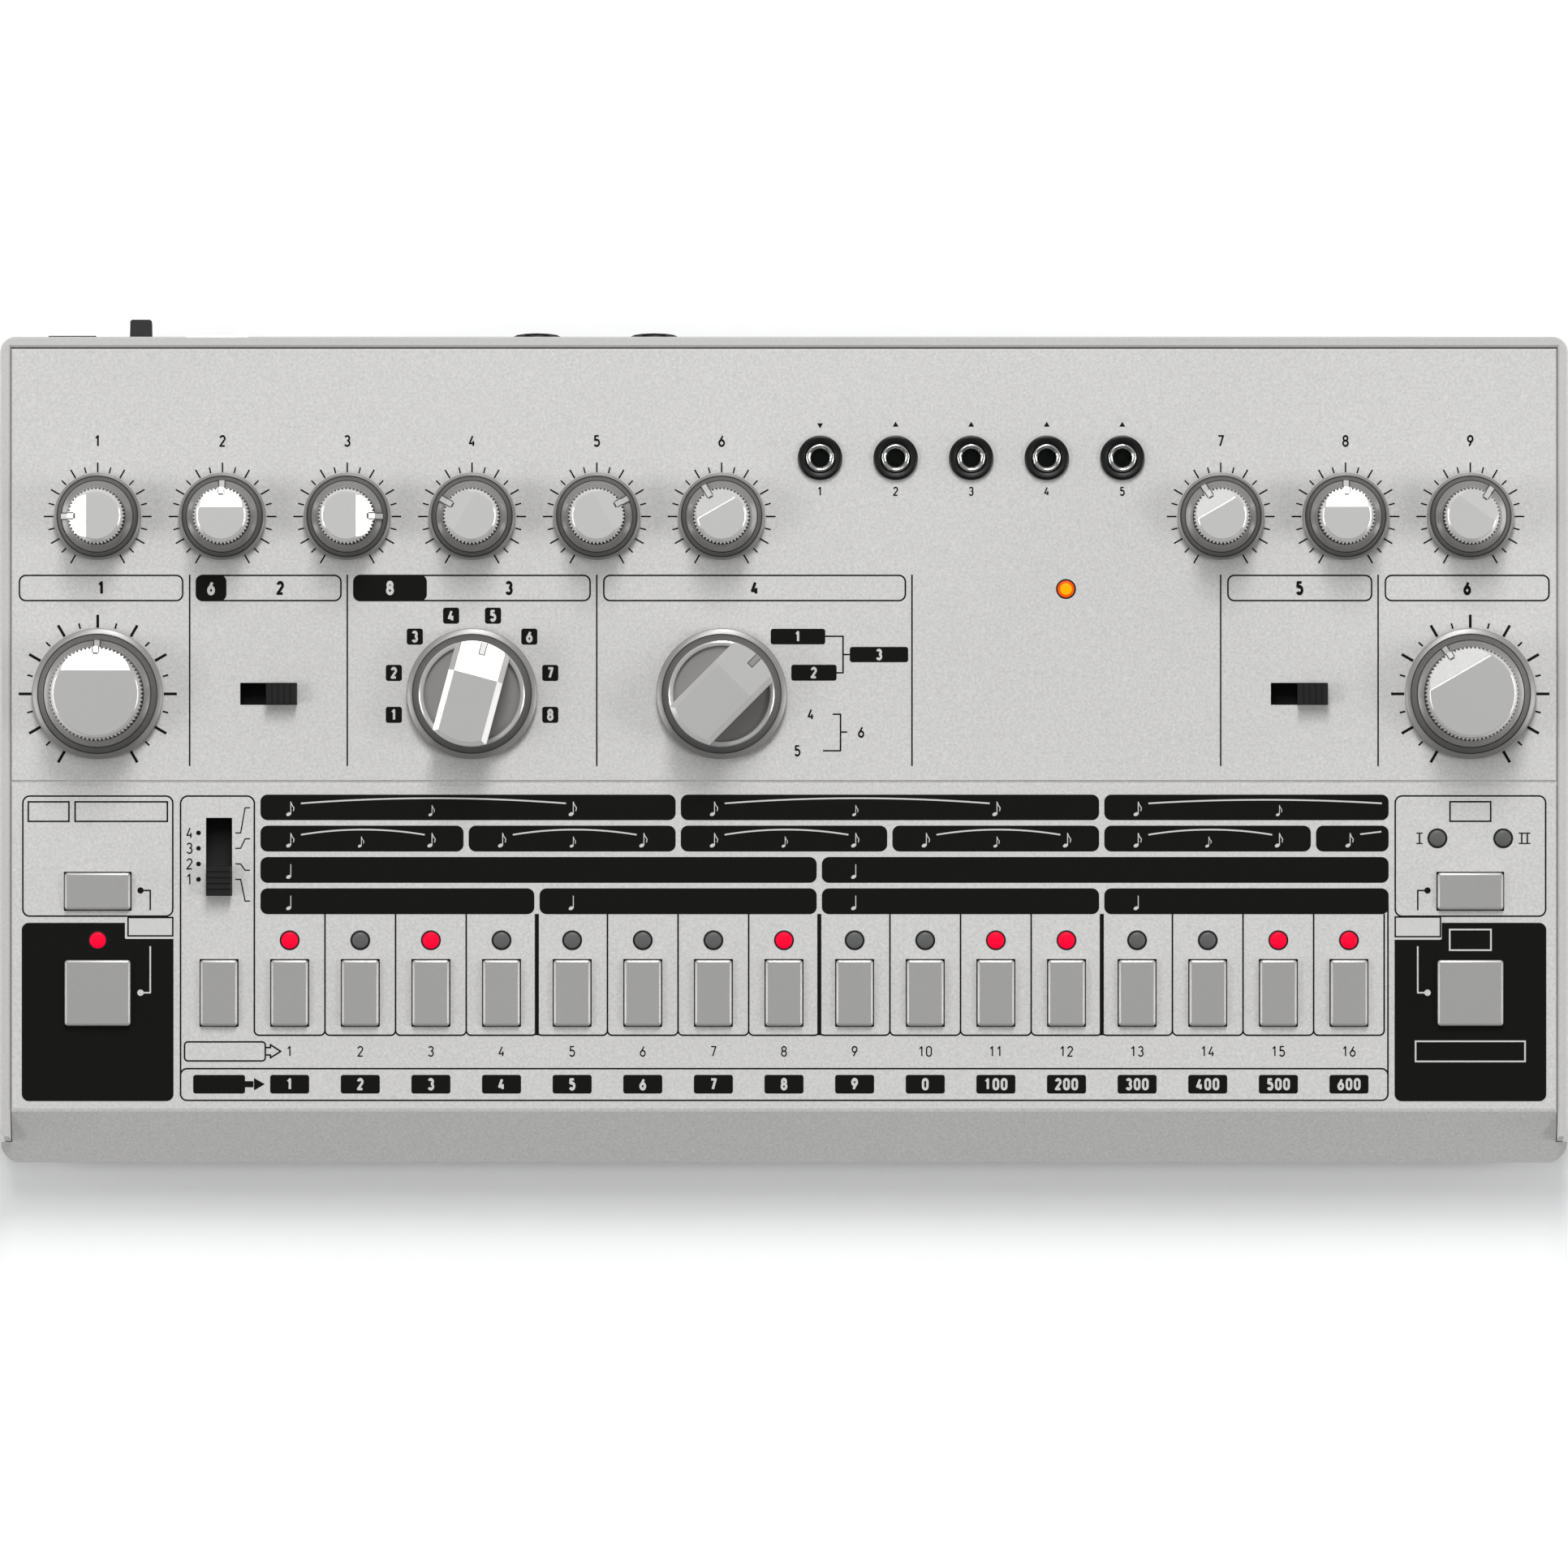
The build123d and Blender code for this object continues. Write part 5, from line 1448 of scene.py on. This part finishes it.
@dataclass
class RearSockets:
    """What shows at the rear: notched nuts, five-pin inserts, a data tongue and a power socket's pin."""

    nut: float = 5.2
    nut_bore: float = 4.6
    nut_reach: float = 3.0
    recess: float = 6.6
    recess_depth: float = 9.0
    pin_circle: float = 3.65
    shell_reach: float = 3.05

    @staticmethod
    def place(x: float, z: float) -> Matrix:
        """A place on the rear wall's outer face.

        Args:
            x: To the player's right.
            z: Over the table.

        Returns:
            The matrix from a piece's millimetres to metres in the room, its upright axis out of the wall.
        """
        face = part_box("bottom_case")[1][1] / MM
        turn = Matrix(((-1, 0, 0, 0), (0, 0, 1, 0), (0, 1, 0, 0), (0, 0, 0, 1)))
        return Matrix.Scale(MM, 4) @ Matrix.Translation((x, face, z)) @ turn

    @staticmethod
    def centre(node: str) -> Point:
        """The x and z of the middle of a CAD node's box."""
        low, high = (Vector(corner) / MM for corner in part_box(node))
        return (low.x + high.x) / 2, (low.z + high.z) / 2

    @staticmethod
    def pair(node: str, width: float) -> list[float]:
        """The x of the two equal pieces that a CAD node holds side by side, each so wide."""
        low, high = (Vector(corner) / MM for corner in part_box(node))
        return [low.x + width / 2, high.x - width / 2]

    def notched_nut(self) -> bmesh.types.BMesh:
        """A round nut with eight notches for its key.

        Returns:
            The nut, standing on the wall.
        """
        r, bore, top = self.nut, self.nut_bore, self.nut_reach
        shape = turned([(bore, 0), (r, 0), (r, top - 0.9), (r - 0.05, top - 0.85), (bore + 0.05, top - 0.85),
                        (bore, top - 0.9)], 64)
        for tooth in range(8):
            block = box((bore, -1.35, top - 1.2), (r - 0.03, 1.35, top), 0.12)
            join(shape, block, Matrix.Rotation(radians(45 * tooth), 4, "Z"))
        return shape

    def insert(self) -> tuple[bmesh.types.BMesh, bmesh.types.BMesh]:
        """The insert of a round socket.

        Returns:
            The black insert with its key, and the bright shield with the five contacts.
        """
        foot, r = -self.recess_depth, self.recess
        black = turned([(0, foot), (5.3, foot), (5.3, foot + 2.9), (5.1, foot + 3.1), (0, foot + 3.1)], 64)
        join(black, box((-1.0, r - 1.0, foot), (1.0, r - 0.2, foot + 6.5), 0.15))
        bright = turned([(r - 0.45, foot), (r, foot), (r, -0.7), (r - 0.12, -0.6), (r - 0.33, -0.6),
                         (r - 0.45, -0.7)], 80)
        for contact in range(5):
            angle = radians(-90 + 45 * contact)
            ring = turned([(0.62, foot + 3.0), (0.95, foot + 3.0), (0.95, foot + 3.2), (0.7, foot + 3.25),
                           (0.62, foot + 3.15)], 20)
            spot = (self.pin_circle * sin(angle), -self.pin_circle * cos(angle), 0)
            join(bright, in_slot(ring, 1), Matrix.Translation(spot))
        return black, bright

    def tongue(self) -> tuple[bmesh.types.BMesh, bmesh.types.BMesh]:
        """The inside of the data socket.

        Returns:
            The tongue and its four contacts.
        """
        black = box((-2.8, -1.6, -6.2), (2.8, 1.6, 1.6), 0.2)
        gold = bmesh.new()
        for across in (-1.25, 1.25):
            for side in (-1, 1):
                low, high = (across - 0.5, side * 1.6 - 0.12, -6.0), (across + 0.5, side * 1.6 + 0.12, 1.2)
                join(gold, box(low, high, 0.05))
        return black, gold

    def build(self) -> None:
        """Build everything that shows at the rear."""
        nuts, blacks, brights, gold = bmesh.new(), bmesh.new(), bmesh.new(), bmesh.new()
        height = self.centre("phone_jack_nuts")[1]
        for x in self.pair("phone_jack_nuts", 2 * self.nut):
            join(nuts, self.notched_nut(), self.place(x, height))
        for opening in frame["record"]["physics"]["openings"]:
            low, high = (Vector(corner) / MM for corner in opening["box_m"])
            place = self.place((low.x + high.x) / 2, (low.z + high.z) / 2)
            if opening["name"].startswith("round_socket"):
                black, bright = self.insert()
                join(blacks, black, place)
                join(brights, bright, place)
            else:
                black, contacts = self.tongue()
                join(blacks, black, place)
                join(gold, contacts, place)
        pin = turned([(0, -6.0), (1.06, -6.0), (1.06, 1.7), (0.9, 1.98), (0.5, 2.08), (0, 2.1)], 32)
        join(brights, pin, self.place(*self.centre("power_socket")))
        piece("phone_jack_nuts_notched", nuts, Matrix(), HOUSING, "black_plastic", BLACK_NYLON,
              stands_for=("phone_jack_nuts",))
        piece("socket_inserts", blacks, Matrix(), HOUSING, "inner_black", BLACK_NYLON)
        piece("socket_shields_and_pin", brights, Matrix(), HOUSING, "bright_metal", NICKEL, GOLD_FLASH)
        piece("data_socket_contacts", gold, Matrix(), HOUSING, "bright_metal", GOLD_FLASH)


@dataclass
class CaseScrews:
    """The four screws that hold the two halves of the case, seen from below in their wells."""

    side: float = 146.3
    seats: tuple[Point, ...] = ((-64.0, 16.575), (40.0, 29.345))
    head: float = 2.45
    head_height: float = 1.7
    shank: float = 1.35
    length: float = 8.0
    first_turn: float = 0.4

    def screw(self) -> bmesh.types.BMesh:
        """One screw, its head downwards, with its cross recess drawn as a flat dark cross of painted shade.

        Returns:
            The screw, its head's seat at height 0.
        """
        r, low = self.head, -self.head_height
        shape = turned([(0, low), (r * 0.55, low + 0.08), (r * 0.85, low + 0.4), (r, low + 0.95), (r, 0),
                        (self.shank, 0), (self.shank, self.length), (0, self.length + 0.6)], 40)
        for long, wide in ((1.35, 0.3), (0.3, 1.35)):
            join(shape, in_slot(box((-long, -wide, low - 0.02), (long, wide, low + 0.3), 0.04), 1))
        return shape

    def build(self) -> None:
        """Build the screws as one piece."""
        shape = bmesh.new()
        for side in (-self.side, self.side):
            for y, seat in self.seats:
                # Driven home, the screws stop at different angles.
                turn = Matrix.Rotation(self.first_turn + side, 4, "Z")
                join(shape, self.screw(), Matrix.Translation((side, y, seat)) @ turn)
        piece("case_screws", shape, Matrix.Scale(MM, 4), HOUSING, "bright_metal", ZINC_STEEL, SLOT_ABS)


# ---- The room ----


@dataclass
class Camera:
    """The camera, square to the panel."""

    plane: PanelPlane
    aim: float = 63.47
    distance: float = 4200.0
    frame_width: float = 305.02
    sensor: float = 36.0

    def build(self) -> None:
        """Put the camera in the room."""
        data = bpy.data.cameras.new("camera")
        data.sensor_width = self.sensor
        data.lens = self.sensor * self.distance / self.frame_width
        data.clip_start = 0.1
        data.clip_end = 50.0
        made = bpy.data.objects.new("camera", data)
        place = self.plane.place(0, self.aim, self.distance)
        turn = place.to_quaternion().to_matrix().to_4x4()
        made.matrix_world = Matrix.Translation(place.to_translation()) @ turn
        bpy.context.scene.collection.objects.link(made)
        bpy.context.scene.camera = made


@dataclass(frozen=True)
class Softbox:
    """An area light that looks at the middle of the panel.

    It leans away from the panel's normal, towards a turn clockwise from the rear, both in degrees. Its distance
    and size are in metres.
    """

    name: str
    lean: float
    turn: float
    distance: float
    width: float
    height: float
    watts: float

    def build(self, plane: PanelPlane) -> None:
        """Put the light in the room.

        Args:
            plane: The panel's plane.
        """
        lean, turn = radians(self.lean), radians(self.turn)
        aim = plane.place(0, 70).to_translation()
        away = (Vector((1, 0, 0)) * sin(turn) + plane.up * cos(turn)) * sin(lean) + plane.normal * cos(lean)
        data = bpy.data.lights.new(self.name, "AREA")
        data.shape = "RECTANGLE"
        data.size = self.width
        data.size_y = self.height
        data.energy = self.watts
        made = bpy.data.objects.new(self.name, data)
        made.location = aim + away * self.distance
        made.rotation_mode = "QUATERNION"
        made.rotation_quaternion = (-away).to_track_quat("-Z", "Y")
        bpy.context.scene.collection.objects.link(made)


SOFTBOXES = (
    Softbox("rear_softbox", 41.0, 2.0, 1.5, 0.3, 0.6, 10.6),
    Softbox("top_softbox", 24.0, -12.0, 1.9, 0.5, 0.5, 6.0),
    Softbox("left_softbox", 42.0, -97.0, 1.3, 0.34, 0.34, 2.9),
    Softbox("right_softbox", 42.0, 97.0, 1.3, 0.34, 0.34, 2.9),
    Softbox("left_card", 84.0, -90.0, 1.1, 0.9, 0.22, 3.0),
    Softbox("right_card", 84.0, 90.0, 1.1, 0.9, 0.22, 3.3),
)


def build_room(plane: PanelPlane) -> None:
    """Make the table, the light and the camera.

    Args:
        plane: The panel's plane.
    """
    world = bpy.data.worlds.new("studio")
    world.use_nodes = True
    tree = world.node_tree
    background = tree.nodes["Background"]
    background.inputs["Color"].default_value = linear("#F5F7FA")
    # The studio is bright behind and above, and dim where the player sits.
    toward = add_node(tree, "ShaderNodeTexCoord", {}).outputs["Generated"]
    rear = add_node(tree, "ShaderNodeVectorMath", {0: toward, 1: (0.0, 0.8, 0.6)}, operation="DOT_PRODUCT")
    level = add_node(tree, "ShaderNodeMapRange", {
        "Value": rear.outputs["Value"], "From Min": -0.5, "From Max": 0.8, "To Min": 0.1, "To Max": 0.38})
    tree.links.new(level.outputs["Result"], background.inputs["Strength"])
    bpy.context.scene.world = world
    bpy.context.scene.view_settings.view_transform = "Standard"
    table = bmesh.new()
    bmesh.ops.create_grid(table, x_segments=1, y_segments=1, size=4.0)
    top = mesh_object("table_top", table, Matrix(), TABLE_TOP)
    for light in SOFTBOXES:
        light.build(plane)
    Camera(plane).build()


# ---- The machine ----

LARGE_ROW = 81.0
SMALL_KNOBS = (
    "accent_knob", "bass_drum_knob", "snare_drum_knob", "tom_knob", "cymbal_knob", "hihat_knob",
    "distortion_knob", "tone_knob", "level_knob")
LARGE_KNOBS = ("tempo_knob", "volume_knob")
STEP_BUTTONS = tuple(f"step_button_{step:02d}" for step in range(1, 17))
BUTTONS = (*STEP_BUTTONS, "function_button", "clear_button", "start_button", "group_button", "write_button")
LIT_STEPS = (1, 3, 8, 11, 12, 15, 16)

CAD_FINISHES = {
    "top_panel": CASE_ABS,
    "bottom_case": TUB_ABS,
    "main_board": SOLDER_MASK,
    "jack_board": SOLDER_MASK,
    "potentiometers": TINPLATE,
    "rotary_switches": TINPLATE,
    "tact_switches": INNER_BLACK,
    "slide_switch_bodies": INNER_BLACK,
    "panel_jack_bodies": INNER_BLACK,
    "rear_mini_jacks": BLACK_NYLON,
    "phone_jacks": BLACK_NYLON,
    "midi_sockets": BLACK_NYLON,
    "usb_socket": NICKEL,
    "power_socket": BLACK_NYLON,
    "power_switch_lever": BLACK_ACETAL,
    "select_slide": BLACK_ACETAL,
    "distortion_slide": BLACK_ACETAL,
    "scale_slide": BLACK_ACETAL,
    "rubber_feet": FOOT_RUBBER,
}


def dress_cad_nodes() -> None:
    """Give the CAD nodes that stay their finishes."""
    for node, finish in CAD_FINISHES.items():
        slots = frame["nodes"][node].data.materials
        slots.clear()
        slots.append(finish.make())


def build_lamps(plane: PanelPlane) -> None:
    """Build the lit, unlit and tempo lamps.

    Args:
        plane: The panel's plane.
    """
    row, group_row, spread = 33.07, 52.9, 6.4
    steps = {i: plane.middle(body)[0] for i, body in enumerate(STEP_BUTTONS, 1)}
    start_u = plane.middle("start_button")[0]
    write_u = plane.middle("write_button")[0]
    lit = [(steps[i], row) for i in LIT_STEPS] + [(start_u, row)]
    unlit = [(u, row) for i, u in steps.items() if i not in LIT_STEPS]
    unlit += [(write_u + side * spread, group_row) for side in (-1, 1)]
    LampSet("red_lamp", "red_lamps", "red_lamp", lit, LAMP_RED, LAMP_RED, plane).build()
    LampSet("dark_lamp", "unlit_lamps", "unlit_lamp", unlit, LAMP_OFF, LAMP_OFF, plane).build()
    LampSet("tempo_lamp", "tempo_lamp", "orange_lamp", [plane.middle("tempo_lamp")], LAMP_ORANGE,
            LAMP_ORANGE_RIM, plane).build()


def main() -> None:
    """Build the machine round its frame, then the room."""
    logging.basicConfig(level=logging.INFO, format="%(name)s: %(message)s")
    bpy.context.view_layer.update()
    plane = PanelPlane.from_knob("tempo_knob_turn", LARGE_ROW)
    dress_cad_nodes()
    for body in SMALL_KNOBS:
        FlutedKnob(body, SMALL_KNOB, plane).build()
    for body in LARGE_KNOBS:
        FlutedKnob(body, LARGE_KNOB, plane).build()
    SelectorKnob("instrument_selector", plane, 0.0).build()
    SelectorKnob("mode_selector", plane, 90.0).build()
    for body in BUTTONS:
        PushButton(body, plane).build()
    build_lamps(plane)
    PanelJacks(plane).build()
    RearSockets().build()
    CaseScrews().build()
    PanelPrint(plane).build()
    build_room(plane)


if __name__ == "__main__":
    main()
